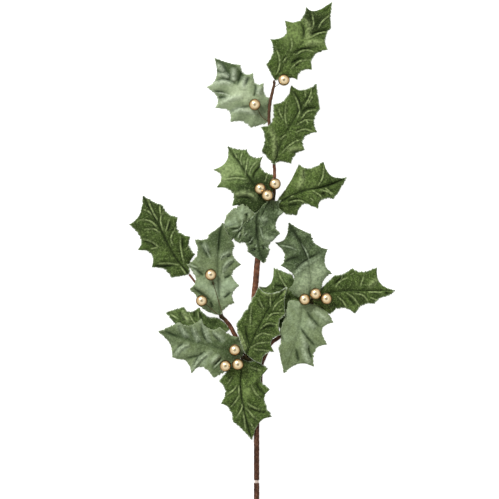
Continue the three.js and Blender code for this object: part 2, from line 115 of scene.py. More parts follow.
leaves["upper_left_leaf"] = {
    "velvet": "silverSage",
    "base": (268.5, 121.5), "tip": (214.5, 57.8), "rib": [(254, 106), (236, 84)],
    "left": [
        (259, 125), (250.5, 127.5), (243.5, 121.7), (229.8, 121.8), (228.8, 110.5), (214.5, 108.3),
        (217.5, 97.5), (206.2, 87.3), (216.3, 77),
    ],
    "right": [
        (269.8, 108), (269.2, 97.5), (264.6, 94.5), (263.6, 83.4), (255.3, 83), (253.3, 73),
        (244.8, 73.8), (240.4, 65), (229, 62.8),
    ],
    "height": {"base": 5.9, "tip": 1.5, "arch": 3, "left": -2.5, "right": -1},
    "wave": 1.8, "midrib": 0.15, "crumple": 0.5,
    "veins": [[(215, 92.5), (222, 93), (232, 96.5)]],
    "ridges": [
        [(208, 85), (216, 83), (225, 81.5), (233, 85)], [(215.5, 64), (220, 67), (224, 73)],
        [(216, 73.5), (226, 75.5), (229, 78)], [(234, 67), (233.5, 78), (235, 81)],
        [(219, 103), (228, 99), (243, 96)], [(231, 112), (240, 109.5), (258, 113)],
        [(260, 86), (258, 96)], [(245, 76), (243, 90)],
    ],
    "creases": [
        [(213, 83), (220, 80.5), (228, 80), (238, 85)], [(213, 82.5), (222, 80), (232, 81.5)],
        [(216, 71.5), (228, 75), (231, 78)], [(220, 60), (226, 70), (231, 77)],
        [(242.5, 71), (240.5, 76), (237, 86)], [(218, 97), (229, 98)], [(214, 91), (226, 93)],
        [(229.5, 112), (238, 109), (252, 106)], [(255.5, 84), (256, 90), (254, 97)],
        [(249, 77), (246.5, 82), (244, 87)],
    ],
    "patches": [
        (222, 65, 9, -1.8), (231, 72, 8, -1.6), (239, 76, 5, -1.1), (224, 79, 4, -0.6),
        (222, 98.5, 4.5, -1), (246, 79, 4, -0.8), (256.5, 90, 5, -0.8), (225, 88, 5, -0.25),
        (240, 106, 7, -0.6), (248, 117, 13, -0.3), (265, 106, 7, -0.6), (240, 92, 11, 0.7),
        (226, 102, 8, 0.4), (212, 85, 5, 0.4), (257, 88, 4, 0.3), (250, 100, 8, 0.3),
    ],
}
leaves["upper_right_leaf"] = {
    "velvet": "deepGreen",
    "base": (274.3, 164.5), "tip": (316.5, 83.8), "rib": [(281.5, 142), (296, 116)],
    "left": [
        (267, 157), (261.7, 151.2), (264.6, 139.5), (261.3, 127.5), (272, 121.8), (273.2, 104.6),
        (285.8, 99), (291.3, 85.3), (302, 90.2),
    ],
    "right": [
        (279.5, 161.4), (291.4, 163.4), (294.8, 154.8), (304.8, 150.3), (303.3, 138.3), (316.9, 132),
        (314, 120.5), (319.9, 109.5), (318, 97),
    ],
    "height": {"base": 11.8, "tip": 5, "arch": 6, "left": 0.5, "right": -3},
    "wave": 1.6, "midrib": 0.6, "crumple": 0.4,
    "veins": [
        [(292, 92), (297, 101), (299.5, 112), (297, 119)], [(286.5, 101), (285, 115), (287, 128)],
        [(277.5, 105), (281, 116), (284, 121)], [(317, 110), (307, 112), (301, 120)],
        [(313, 120.5), (305, 120.5), (296, 126)], [(306, 120), (308, 124)],
        [(314, 132), (304, 129.5), (295, 133)], [(303, 139), (293, 143), (280.5, 154)],
        [(280, 140), (286, 134.5)], [(311.5, 88), (310.5, 95), (304, 108)], [(313, 96), (308, 104)],
        [(305, 90), (305.5, 97)],
    ],
    "ridges": [
        [(269.5, 126), (274, 139), (275, 153), (274, 160)], [(303, 148), (291, 149.5), (288, 151)],
    ],
    "creases": [
        [(276, 140), (277.5, 148), (276, 162)], [(293, 91), (300, 103), (301, 117)],
        [(317, 108), (306, 109), (300, 116)], [(303, 151), (292, 152.5)],
    ],
    "patches": [
        (308, 106, 12, -0.45), (266, 143, 9, -0.35), (290, 125, 16, -0.15), (283, 112, 8, 0.25),
        (277, 122, 7, 0.2), (300, 133, 5, 0.25), (298, 146, 5, 0.2), (275, 155, 8, -0.1),
    ],
}
leaves["middle_left_leaf"] = {
    "velvet": "leafGreen",
    "base": (270.5, 205), "tip": (227.8, 146.3), "rib": [(258, 190), (243, 170)],
    "left": [
        (263.5, 211.8), (252.8, 213.6), (243, 206.5), (232.3, 205.6), (231.8, 191.8), (217, 187),
        (221.5, 176.3), (213, 169.9), (226.3, 161.5),
    ],
    "right": [
        (273.4, 192), (273.4, 175), (261.3, 168.5), (262.2, 157.2), (252, 156.6), (246.4, 149.4),
        (238.5, 149.6),
    ],
    "height": {"base": 5.2, "tip": 1.5, "arch": 3.5, "left": -1.5, "right": -2.4},
    "wave": 1.4, "midrib": 0.5, "crumple": 0.4,
    "veins": [
        [(222, 180), (236, 178), (247, 179.5)], [(248, 157), (246, 170), (245, 177)],
        [(258, 160), (251, 169), (249.5, 175)], [(242.5, 152), (240.5, 159)], [(240, 160), (242, 165)],
        [(235, 153), (237, 158)], [(267.5, 174), (265, 182)],
    ],
    "ridges": [[(233, 194.5), (248, 193.5), (258, 199)]],
    "creases": [
        [(229, 149), (240, 163), (252, 182), (258, 190)], [(236, 198), (247, 197), (256, 203)],
        [(263, 164), (255, 172), (253, 180)],
    ],
    "patches": [
        (225, 168, 13, 0.75), (236, 171, 9, 0.35), (246, 165, 7, 0.3), (256, 172, 6, 0.25),
        (222, 178, 7, 0.35), (252, 190, 11, -1.3), (264, 182, 9, -1), (251, 206, 14, -1.4),
        (266, 203, 9, -1), (240, 192, 8, -0.6),
    ],
}
leaves["middle_right_leaf"] = {
    "velvet": "deepGreen",
    "base": (275.9, 203.9), "tip": (346.7, 177.3), "rib": [(303, 191), (326, 186.5)],
    "left": [(289, 184), (299, 164.3), (310.5, 168.2), (323.2, 161.2), (331.5, 176)],
    "right": [
        (282.5, 212.3), (297, 214.8), (303.6, 204.4), (318, 208.8), (321.7, 200), (333.3, 198.8),
        (339.8, 189.5),
    ],
    "height": {"base": 8.4, "tip": 1.5, "arch": 5.5, "left": -2, "right": -2.5},
    "wave": 1.6, "midrib": 0.9, "crumple": 0.45,
    "veins": [
        [(324, 165), (322.5, 178), (318, 186)], [(312, 190.5), (320, 195.5), (322.5, 199)],
        [(320, 189.5), (330, 193), (333, 196.5)], [(325, 188), (334, 195)], [(310, 198), (314, 201)],
        [(288, 203), (299, 200.5), (308, 204)], [(290, 197), (294, 196)],
    ],
    "ridges": [[(302.5, 168), (302, 180), (297, 189.5)]],
    "creases": [
        [(304, 170), (303.5, 176), (304.5, 180)], [(322, 192), (326, 196)],
        [(343, 180), (328, 185), (313, 189.5)], [(288, 201), (299, 198.5)], [(288, 206), (300, 204)],
    ],
    "patches": [
        (297, 183, 6, 0.6), (312, 172, 9, 0.15), (320, 170, 6, 0.25), (290, 208, 8, -0.55),
        (330, 179, 8, -0.2), (338, 180, 6, -0.5), (309, 190, 13, 0.2),
    ],
}
leaves["middle_drooping_leaf"] = {
    "velvet": "dustyGreen",
    "base": (270, 200.3), "tip": (264, 262.8), "rib": [(259.5, 222), (258.5, 243)],
    "left": [
        (276, 201), (281.3, 200.3), (278.8, 206.5), (283, 212.5), (276, 223), (280, 233.8),
        (270.5, 242.5), (269.6, 250), (267.3, 256.5),
    ],
    "right": [
        (257.5, 211.5), (242, 226), (243.5, 233), (239, 241.4), (246.4, 243.8), (247.3, 251.3),
        (254.5, 256.2),
    ],
    "height": {"base": 12.8, "tip": 13.4, "arch": 3.5, "left": 0.3, "right": -1.2},
    "wave": 1.0, "midrib": 0.7, "crumple": 1,
    "veins": [
        [(260, 226), (262.5, 236), (264, 239)], [(254, 215), (250.5, 220)],
        [(253.5, 237), (250, 242), (248, 244)], [(247, 233), (244, 236)], [(256.5, 244.5), (256, 247)],
        [(253, 249), (254, 251)], [(264, 246), (269, 250)], [(281, 199.5), (278, 206)],
    ],
    "ridges": [
        [(259, 218), (264, 219.5), (268, 219)], [(263, 236), (270, 239.5), (277, 236)],
        [(281, 211), (280, 216)],
    ],
    "creases": [
        [(260, 208), (257, 218), (257, 230), (258, 243)], [(256, 218), (257, 229), (256.5, 240)],
        [(249, 239.5), (252, 242), (251, 245)], [(249, 219), (246.5, 223)], [(255, 248), (253, 252)],
        [(261, 245), (264, 248), (262, 250)],
    ],
    "patches": [
        (266, 243, 5, 0.5), (273, 227, 4, 0.3), (277, 206, 4, 0.4), (272, 233, 4, -0.5),
        (265, 224, 4, -0.4), (262, 258, 7, -0.7), (278, 209, 2, -0.6), (250, 232, 9, -0.5),
        (266, 209, 9, -0.5), (246, 248, 6, -0.4), (272, 218, 6, -0.3),
    ],
}
leaves["middle_low_leaf"] = {
    "velvet": "sage",
    "base": (257, 218), "tip": (223.5, 228), "rib": [(248, 221), (236, 224.5)],
    "left": [
        (251.5, 232), (246.5, 243.2), (243, 241.7), (239.8, 243.3), (234.5, 240), (229, 240.5),
        (225.3, 235.5),
    ],
    "right": [(253, 212), (243, 204.2), (236.5, 207.5), (231, 210.6), (225.8, 218)],
    "height": {"base": 9.2, "tip": 8.6, "arch": 1.2, "left": -1, "right": 0.6},
    "wave": 0.8, "midrib": 0.3, "crumple": 1.1,
    "veins": [[(231.5, 232), (240, 229), (243, 220)], [(240.5, 232), (238, 238)]],
    "ridges": [],
    "creases": [
        [(229, 228.5), (234, 229), (240, 228)], [(234, 239), (239, 232), (243, 226)],
        [(246, 213), (247, 216), (246, 220)],
    ],
    "patches": [
        (243, 211, 6, 0.7), (242, 217, 3, 0.6), (249, 214.5, 3, 0.6), (228, 225, 5, 0.8),
        (235, 222.5, 6, 0.6), (233, 214, 5, 0.3), (246.5, 216, 2, -0.9), (229.5, 231, 4, -0.9),
        (231, 238, 5, -0.7), (239, 241, 6, -0.5), (240, 233, 4, -0.2),
    ],
}
leaves["left_center_leaf"] = {
    "velvet": "sage",
    "base": (220, 314.5), "tip": (222.9, 223), "rib": [(218.4, 285), (218, 256)],
    "left": [
        (208, 311.5), (199, 305), (197, 296.5), (189.3, 289.2), (196, 278.5), (186.5, 264.8),
        (197, 255), (195, 239.5), (206, 239.3), (208.3, 235.3), (215.5, 230),
    ],
    "right": [
        (225.3, 307.9), (234, 302.8), (232.5, 293.5), (239, 285.3), (232, 274.5), (241, 264.3),
        (233.3, 256), (234.3, 244.5), (228.3, 234),
    ],
    "height": {"base": 10.4, "tip": 12, "arch": 4, "left": -0.5, "right": -3},
    "wave": 1.3, "midrib": 0.52, "crumple": 0.6,
    "veins": [
        [(187, 264), (192, 265.5), (198, 268)],
        [(231.5, 252.8), (226, 254), (222, 256.5), (220.3, 260.5)],
        [(235.5, 258.6), (229.5, 261.5), (225, 265.8), (223.2, 271), (223.2, 275)],
        [(204, 241.5), (207.3, 251), (210.5, 258)],
    ],
    "ridges": [
        [(190, 268), (199, 276)], [(234, 258.5), (227, 264), (223.5, 272)],
        [(232, 251.5), (223, 256), (221, 259)], [(203, 243), (208, 252)],
    ],
    "creases": [
        [(221.3, 226), (219.3, 240), (218.6, 255)], [(200, 241), (204.5, 249), (208, 258)],
        [(188, 267), (200, 272.5), (204, 276)], [(193, 287.5), (201, 293), (214, 303)],
        [(194, 289), (203, 295), (213, 303)], [(210, 300), (213, 308)], [(212, 281), (214, 285)],
        [(235, 260.8), (229.4, 264.6), (226.4, 269)], [(231, 255), (226, 257)],
        [(231, 275), (224, 278.5)], [(231, 292), (224, 298)],
    ],
    "patches": [
        (217, 236, 11, -0.9), (229, 247, 8, -0.5), (206, 249, 10, -0.6), (199, 268, 7, -0.2),
        (215, 309, 7, -0.5), (225, 286, 10, 0.8), (234, 285, 6, 0.5), (214, 293, 7, 0.7),
        (203, 285, 9, 0.6), (224, 300, 6, 0.3), (198, 300, 6, -0.3),
    ],
}
leaves["left_tip_leaf"] = {
    "velvet": "deepGreen",
    "base": (188.8, 274), "tip": (142.8, 195.8), "rib": [(175, 257), (158.5, 225)],
    "left": [
        (180, 275.9), (171.3, 277.8), (164.5, 269.3), (151.4, 267.7), (151.3, 253.8), (137.8, 249.8),
        (140.5, 238.5), (129.8, 224.6), (139.6, 213.5),
    ],
    "right": [
        (190, 262), (195, 254.2), (189.3, 246.5), (190, 236.6), (178.2, 230.8), (177.8, 216.6),
        (167, 213.3), (162.5, 204.5), (154.5, 202.3),
    ],
    "height": {"base": 6.4, "tip": 0.5, "arch": 5, "left": -4.5, "right": -2},
    "wave": 1.5, "midrib": 0.9, "crumple": 0.35,
    "veins": [
        [(143.5, 209.5), (148, 211.5), (152, 215)], [(139, 220), (150, 221), (157.5, 227.5)],
        [(144, 229.5), (154, 229), (160, 233)], [(141.5, 239), (150, 241), (160, 247.5)],
        [(150, 249), (158, 247.5)], [(157, 263.5), (170, 263.5), (180, 265)],
        [(147, 198), (152, 210), (158, 221)], [(159.5, 205), (161, 216)],
        [(163.5, 211), (160.5, 219), (163.5, 232)], [(169.5, 219), (165.5, 232)],
        [(176.5, 226), (171, 238), (173, 246)], [(180.5, 236), (180.5, 246), (184.5, 266)],
        [(188, 246), (186, 250)], [(180, 266), (186, 274)],
    ],
    "ridges": [],
    "creases": [
        [(142, 241), (152, 243.5), (156, 247)], [(155, 266), (175, 266)], [(171, 221), (167.5, 232)],
        [(182, 238), (183, 250)],
    ],
    "patches": [
        (152, 212, 22, -0.5), (172, 248, 24, -0.45), (135, 226, 6, -0.4), (189, 257, 6, -0.5),
        (176, 240, 5, 0.3), (165, 255, 7, 0.25), (160, 272, 8, -0.2),
    ],
}
leaves["left_under_leaf"] = {
    "velvet": "leafGreen",
    "base": (229.5, 329), "tip": (165.8, 313.2), "rib": [(206, 322), (184, 316)],
    "left": [
        (222, 334), (212, 336), (203, 330), (192, 333), (184, 326.5), (176.5, 325.5), (171, 319.5),
    ],
    "right": [
        (222, 320.5), (214, 317), (206, 315.8), (199.2, 307.2), (190.5, 312), (184, 307.2),
        (174.5, 309.6),
    ],
    "height": {"base": 3.4, "tip": 0.5, "arch": 0.6, "left": -2.5, "right": 1},
    "wave": 1.2, "midrib": 0.3, "crumple": 0.5,
    "veins": [[(188, 311), (193, 321), (196, 324)], [(198, 311), (199, 319)], [(170, 314), (178, 319)]],
    "ridges": [[(182, 310), (186, 318), (190, 322)]],
    "creases": [
        [(180, 312), (183, 318), (187, 322)], [(194, 311), (195, 318)], [(200, 312), (202, 321)],
    ],
    "patches": [(212, 324, 9, -0.6), (174, 320, 8, -0.35)],
}
leaves["lower_left_leaf"] = {
    "velvet": "sage",
    "base": (243.5, 353.6), "tip": (158.3, 331.8), "rib": [(214, 347), (184, 338.5)],
    "left": [
        (232, 366), (213.8, 378), (202.5, 366.8), (191.3, 373.5), (186.8, 362), (172, 357.8),
        (169.8, 343.8),
    ],
    "right": [
        (241, 342), (238.5, 336.8), (230.5, 335.2), (220.3, 326.8), (209.5, 329.5), (201, 318.8),
        (190.5, 325.5), (178, 322.8), (169, 327),
    ],
    "height": {"base": 10.6, "tip": 1, "arch": 3, "left": -3, "right": -0.5},
    "wave": 1.8, "midrib": 0.35, "crumple": 0.7,
    "veins": [
        [(176, 357), (182, 348.5), (189, 345)], [(192.8, 371), (199, 361), (208.5, 353.5)],
        [(182, 326.5), (184.6, 332.4), (189.6, 338)], [(193.3, 327.5), (196.4, 335), (201, 341)],
        [(204.2, 328), (206.8, 336.8), (212, 342.8)], [(214, 331), (219, 336.6), (224, 341)],
        [(213, 368.5), (222.5, 359.5)],
    ],
    "ridges": [
        [(178, 323), (184, 333), (188, 337.5)], [(192, 326), (197, 338), (199, 342)],
        [(201, 319), (206, 331), (209, 343)], [(212, 331), (221, 338), (224, 342)],
        [(191, 372.5), (199, 360), (213, 351)], [(174, 357), (181, 348), (190, 345)],
        [(210, 363), (220, 355)],
    ],
    "creases": [
        [(179.5, 325), (182.2, 333.5), (188, 339.5)], [(190.5, 326), (194, 335.5), (199.4, 342.4)],
        [(201.5, 324), (204.4, 337.3), (210.4, 344)], [(211.5, 331), (216.6, 337.8), (223, 343)],
        [(185, 359.2), (196, 356.4), (205, 355)], [(192, 369), (200, 355.5), (206, 351.5)],
        [(172, 356), (180, 346.5), (184, 343.5)], [(214, 366), (222, 357)], [(164, 331), (178, 337)],
    ],
    "patches": [
        (230, 354, 9, -1), (231, 342, 8, -0.9), (167, 335, 9, -0.6), (205, 357, 6, 0.7),
        (186, 350, 7, 0.6), (195, 341, 16, -0.6), (182, 335, 8, -0.5), (216, 345, 9, -0.6),
        (215, 368, 7, -0.6), (203, 366, 5, 0.4), (180, 360, 6, -0.3), (213, 333, 4, 0.4),
        (200, 325, 4, 0.3),
    ],
}
leaves["lower_bottom_leaf"] = {
    "velvet": "deepGreen",
    "base": (242.6, 359.4), "tip": (251.8, 439.6), "rib": [(240.8, 385), (244, 410)],
    "left": [
        (248, 361.4), (256.2, 359.8), (262, 364.6), (268, 368), (260.8, 379.5), (270, 389.2),
        (264.3, 400), (272, 416.3), (259.5, 422),
    ],
    "right": [
        (230, 368.5), (219.3, 381.3), (225.4, 391.5), (221, 403.3), (230, 409.5), (232.5, 421),
        (242.3, 429.3),
    ],
    "height": {"base": 9, "tip": 7.6, "arch": 3.5, "left": -1.5, "right": -5},
    "wave": 1.5, "midrib": 1, "crumple": 0.4,
    "veins": [
        [(232.5, 376), (227.5, 384)], [(236.5, 385), (235, 388.5), (226, 396)],
        [(239, 396), (234.5, 403), (231, 407)], [(242, 403), (242, 408), (236.5, 418)],
        [(243, 411), (246, 430)], [(239, 385), (239, 396)], [(246, 402), (255, 408), (262, 410)],
        [(245, 406), (253, 416), (258, 420)], [(251, 384), (255, 392), (262, 399.5)],
        [(250, 367), (262, 371)], [(250, 422), (255, 431)],
    ],
    "ridges": [],
    "creases": [[(250, 408), (258, 411), (268, 413)], [(255, 382), (261, 391), (266, 395)]],
    "patches": [
        (247.5, 392, 5, 1), (250, 377, 7, 0.4), (252, 364, 9, -0.7), (232, 396, 8, -0.2),
        (250, 425, 9, -0.25),
    ],
}
leaves["lower_right_leaf"] = {
    "velvet": "deepGreen",
    "base": (246.5, 354.5), "tip": (286.8, 287.2), "rib": [(256, 333), (269, 308)],
    "left": [(240, 340), (236, 323.2), (247.8, 307.2), (258.4, 287.2), (270, 293.4)],
    "right": [
        (253.4, 359.8), (261.4, 363.3), (264.7, 354.4), (273.5, 351.2), (271, 341), (280.5, 334.8),
        (279, 322.5), (285.4, 314.3), (284.4, 301.5),
    ],
    "height": {"base": 13, "tip": 12.6, "arch": 3.5, "left": 2.5, "right": 0},
    "wave": 1.5, "midrib": 0.75, "crumple": 0.4,
    "veins": [
        [(251.5, 305), (250.5, 317), (250.5, 326)], [(258.5, 298), (262, 306), (264, 309)],
        [(270, 293), (270.5, 303), (270, 307)], [(285.5, 297), (275, 306), (272.5, 311)],
        [(283.5, 308), (279, 310.5)], [(284.5, 313), (272, 314), (265.5, 321)],
        [(278, 325), (268, 323.5), (260, 329)], [(273, 335.5), (262, 333.5), (254, 339)],
        [(270, 342), (258, 343.5), (249, 349)], [(272, 350.5), (260, 350), (254, 349)],
        [(241, 334), (247, 349)],
    ],
    "ridges": [
        [(238, 331), (243, 343), (246, 350)], [(261, 290), (268, 293.5), (281, 290)],
        [(286, 289), (286, 297)], [(284, 316), (279.5, 325), (280, 331)],
    ],
    "creases": [[(245, 325), (247, 336), (250, 346)], [(259, 331), (268, 326.5), (275, 327)]],
    "patches": [
        (270, 329, 6, -0.4), (262, 338, 6, -0.4), (264, 347, 6, -0.4), (256, 354, 6, -0.6),
        (265, 308, 7, -0.4), (252, 322, 9, -0.2), (242, 345, 6, 0.2), (276, 310, 6, -0.2),
    ],
}
leaves["right_back_leaf"] = {
    "velvet": "leafGreen",
    "base": (302.5, 300.5), "tip": (259.2, 287), "rib": [(288, 297), (273, 292)],
    "left": [(295, 315), (282, 333), (275, 320), (264, 309), (264, 297)],
    "right": [(298, 288), (292, 275), (284, 272), (274, 267.5), (270.5, 284)],
    "height": {"base": 3.8, "tip": 2.5, "arch": 0.5, "left": -1.5, "right": 0.5},
    "wave": 0.9, "midrib": 0.3, "crumple": 0.5,
    "veins": [[(278, 272), (283, 282), (290, 292)]],
    "ridges": [],
    "creases": [[(274, 286), (283, 287), (291, 292)]],
    "patches": [
        (280, 278, 7, 0.25), (291, 281, 4, -0.8), (281, 287, 8, -0.5), (288, 296, 4, -0.8),
        (283, 322, 5, -0.9),
    ],
}
leaves["right_upper_leaf"] = {
    "velvet": "dustyGreen",
    "base": (309.5, 299), "tip": (288.8, 222.8), "rib": [(310.5, 274), (303, 246)],
    "left": [
        (297, 296.3), (289.2, 289), (294, 276.5), (280.8, 265.5), (284.8, 254.8), (275.3, 242.6),
        (285.5, 238.3),
    ],
    "right": [
        (317, 293), (321.5, 288), (323.6, 280.2), (331.3, 273.3), (324.5, 262.5), (327.6, 249.5),
        (315.3, 244), (311, 234), (301, 230),
    ],
    "height": {"base": 10.6, "tip": 4, "arch": 4.5, "left": -2, "right": -1},
    "wave": 1.4, "midrib": 0.4, "crumple": 0.5,
    "veins": [[(279, 245), (289, 247), (297, 250)], [(301, 243), (307, 253), (310, 264)]],
    "ridges": [[(287, 270), (294, 275), (304, 265.5), (322, 257)]],
    "creases": [
        [(294, 272), (304, 262), (321, 252)], [(291, 228), (300, 241), (308, 260)],
        [(283, 263), (291, 259), (300, 257)],
    ],
    "patches": [
        (291, 230, 6, -1), (298, 239, 6, -0.5), (308, 238, 6, -0.6), (310, 246, 3, -0.6),
        (319, 252, 5, -0.6), (301, 257, 8, -0.6), (294, 263, 8, -0.5), (286, 248, 7, -0.4),
        (304, 252, 4, -0.4), (294, 243, 3, 0.5), (300, 234, 3, 0.4), (287, 257, 3, 0.4),
        (314, 251, 3, 0.4), (308, 280, 14, 0.7), (319, 270, 9, 0.55), (303, 290, 9, 0.3),
        (310, 292, 7, -0.2),
    ],
}
leaves["right_tip_leaf"] = {
    "velvet": "deepGreen",
    "base": (310.5, 299.5), "tip": (395.3, 290.5), "rib": [(340, 291), (367, 291)],
    "left": [
        (323.5, 286.4), (335, 275), (343.5, 273.8), (352.5, 267.6), (361.5, 271.9), (377, 267.2),
        (380, 283),
    ],
    "right": [
        (314, 307.3), (330.4, 314), (342, 307.6), (355, 313.6), (363.5, 304.5), (374.5, 303.8),
        (380, 298.5), (389, 295.7), (391.8, 293.2),
    ],
    "height": {"base": 7.6, "tip": 0.5, "arch": 5.5, "left": -1.5, "right": -3},
    "wave": 1.8, "midrib": 0.76, "crumple": 0.45,
    "veins": [
        [(335, 288), (340, 281.5), (348, 277.5)], [(343, 275), (341, 279)],
        [(364.5, 275), (361.5, 283), (360, 287)], [(350, 275), (354, 273)],
        [(337, 296), (343.5, 302), (347, 308)], [(346, 292.5), (354, 298.5), (359.5, 306.5)],
        [(353, 293), (364, 296), (369, 303)], [(370, 297.5), (377, 300.5)], [(368, 292), (382, 292.5)],
        [(311, 303), (321, 307)], [(315, 307.5), (323, 309)],
    ],
    "ridges": [[(378, 278), (368, 288)]],
    "creases": [[(385, 292), (389, 295)], [(333, 285), (345, 275)], [(349, 297), (356, 306)]],
    "patches": [
        (347, 287, 10, -0.5), (325, 292, 9, -0.6), (335, 303, 6, -0.4), (362, 300, 5, -0.5),
        (366, 287, 5, -0.4), (352, 272, 5, 0.3), (354, 306, 4, 0.2), (387, 290, 5, 0.3),
        (330, 308, 6, -0.3),
    ],
}
leaves["right_lower_leaf"] = {
    "velvet": "sage",
    "base": (303, 303), "tip": (284, 373.4), "rib": [(299.5, 328), (293, 350)],
    "left": [
        (323, 309.3), (333.2, 322.3), (322, 329.5), (327.3, 344.3), (315.5, 349.8), (313.8, 366.5),
        (298, 363.8),
    ],
    "right": [
        (294, 300.6), (288.5, 301.2), (285, 316), (279.3, 332), (281.3, 340), (278.3, 347),
        (280.8, 358),
    ],
    "height": {"base": 10.7, "tip": 3.4, "arch": 4, "left": -3, "right": 1.4},
    "wave": 0.9, "midrib": 0.2, "crumple": 0.5,
    "veins": [],
    "ridges": [
        [(307, 319), (315, 328)], [(302, 334), (305, 345), (308, 348)],
        [(313, 309), (322, 316), (330, 321)], [(302, 345), (306, 356), (310, 364)],
    ],
    "creases": [
        [(306.5, 311), (312, 319), (320, 327)], [(300, 327), (307, 337), (316, 347)],
        [(307, 342), (310, 354), (312, 359)], [(296, 348), (299, 362)],
    ],
    "patches": [
        (296, 303, 8, 0.6), (288, 315, 5, 0.4), (285, 337, 5, 0.4), (321, 320, 6, 0.2),
        (293, 310, 4, -0.2), (297, 353, 5, -0.3), (303, 325, 12, 0.4), (286, 360, 7, -0.2),
        (311, 357, 6, -0.3),
    ],
}


# A smooth curve through a few points, read at shares from 0 to 1 of its spans
def smoothCurve(points, shares):
    points = np.asarray(points, float)
    spans = len(points) - 1
    padded = np.vstack([2 * points[0] - points[1], points, 2 * points[-1] - points[-2]])
    shares = np.atleast_1d(shares)
    spanOf = np.minimum((shares * spans).astype(int), spans - 1)
    local = (shares * spans - spanOf)[:, None]
    p0, p1, p2, p3 = (padded[spanOf + step] for step in range(4))
    knot0 = np.linalg.norm(p1 - p0, axis=1)[:, None] ** 0.5
    knot1 = np.linalg.norm(p2 - p1, axis=1)[:, None] ** 0.5
    knot2 = np.linalg.norm(p3 - p2, axis=1)[:, None] ** 0.5
    leave = ((p1 - p0) / knot0 - (p2 - p0) / (knot0 + knot1) + (p2 - p1) / knot1) * knot1
    arrive = ((p2 - p1) / knot1 - (p3 - p1) / (knot1 + knot2) + (p3 - p2) / knot2) * knot1
    return (p1 + leave * local + (3 * (p2 - p1) - 2 * leave - arrive) * local ** 2
            + (2 * (p1 - p2) + leave + arrive) * local ** 3)


def unit(vector):
    return vector / np.linalg.norm(vector)


def ribOf(leaf, shares):
    return smoothCurve([place(*point) for point in [leaf["base"], *leaf["rib"], leaf["tip"]]], shares)


# Share of the rib's length from which a spine points outward, between its two notches
def veinRoot(leaf, spine, before, after):
    axis = unit(spine - (before + after) / 2)
    shares = np.linspace(0, 1, leafShape["ribSteps"] + 1)
    toRib = ribOf(leaf, shares) - spine
    return shares[np.argmin(toRib @ axis / np.linalg.norm(toRib, axis=1))]


# One side of a leaf: a point for each row, and how near that row is to a spine (1) or a notch (0)
def leafEdge(leaf, side):
    outward = 1 if side == "right" else -1
    share = leafShape["endShare"]
    ends = ribOf(leaf, [0, share, 1 - share, 1])
    corners = []
    for tangent, at, width in ((ends[1] - ends[0], ends[0], leafShape["baseWidth"]),
                               (ends[3] - ends[2], ends[3], leafShape["tipWidth"])):
        tangent = unit(tangent)
        corners.append(at + outward * width / 2 * np.array([tangent[1], -tangent[0], 0]))
    marks = [place(*mark) for mark in leaf[side]]
    notches, spines = marks[0::2], marks[1::2]
    cadRows, arcRows = leafShape["cadRows"], leafShape["arcRows"]
    stops = [0]
    for index, spine in enumerate(spines):
        root = veinRoot(leaf, spine, notches[index], notches[index + 1])
        even = (index + 1) / (len(spines) + 1)
        wished = math.floor((root + even) / 2 * cadRows + 0.5)
        latest = cadRows - arcRows * (len(spines) - index)
        stops.append(min(max(wished, stops[index] + arcRows), latest))
    stops.append(cadRows)
    corners = [corners[0], *spines, corners[1]]
    finer = leafShape["rows"] // cadRows
    points, nearness = [corners[0]], [1.0]
    for arc, notch in enumerate(notches):
        start, end = corners[arc], corners[arc + 1]
        pull = 2 * notch - (start + end) / 2
        steps = (stops[arc + 1] - stops[arc]) * finer
        for k in range(1, steps + 1):
            t = k / steps
            points.append((1 - t) ** 2 * start + 2 * t * (1 - t) * pull + t * t * end)
            nearness.append(0.5 + 0.5 * math.cos(2 * math.pi * t))
    return np.array(points), np.array(nearness)


def bladeHeight(leaf, along, across, nearness):
    height = leaf["height"]
    body = 1 - (2 * along - 1) ** 4
    edge = np.where(across < 0, height["left"], height["right"])
    rise = height["base"] + (height["tip"] - height["base"]) * along
    rise += height["arch"] * np.sin(np.pi * along)
    return rise + across ** 2 * body * (edge + leaf["wave"] * (2 * nearness - 1))


relief = {
    "veinWidth": 0.78 * mm, "grooveWidth": 2.7 * mm, "ridgeWidth": 3.2 * mm, "creaseWidth": 1.8 * mm,
    "ribWidth": 1.7 * mm, "cushionReach": 4.5 * mm, "rimReach": 1.5 * mm, "farthest": 14 * mm,
    "lineSteps": 12, "endFade": 0.5, "fray": 0.5 * mm, "wander": 0.6 * mm, "wanderTurns": (5, 9, 14, 23),
    "endTaper": 40, "crushWaves": 7, "crushLength": (7, 17),
}

# How far each part of the pressed pattern stands up (+) or sinks (-)
rises = {
    "vein": 1.0 * mm, "groove": -0.9 * mm, "ridge": 2.8 * mm, "crease": -2.4 * mm,
    "midrib": -1.6 * mm, "cushion": 1.5 * mm, "crush": 0.75 * mm,
}

# How strongly each part of the pattern is painted: pale veins, painted highlight on the folds, painted
# shade in the creases and along the midrib, painted light and shade on the crushed nap
paints = {"vein": 0.85, "ridge": 0.65, "crease": 1.35, "midrib": 1.2, "crush": 0.22}

chance = np.random.default_rng(17)  # a fixed seed, so the leaves come out alike each time


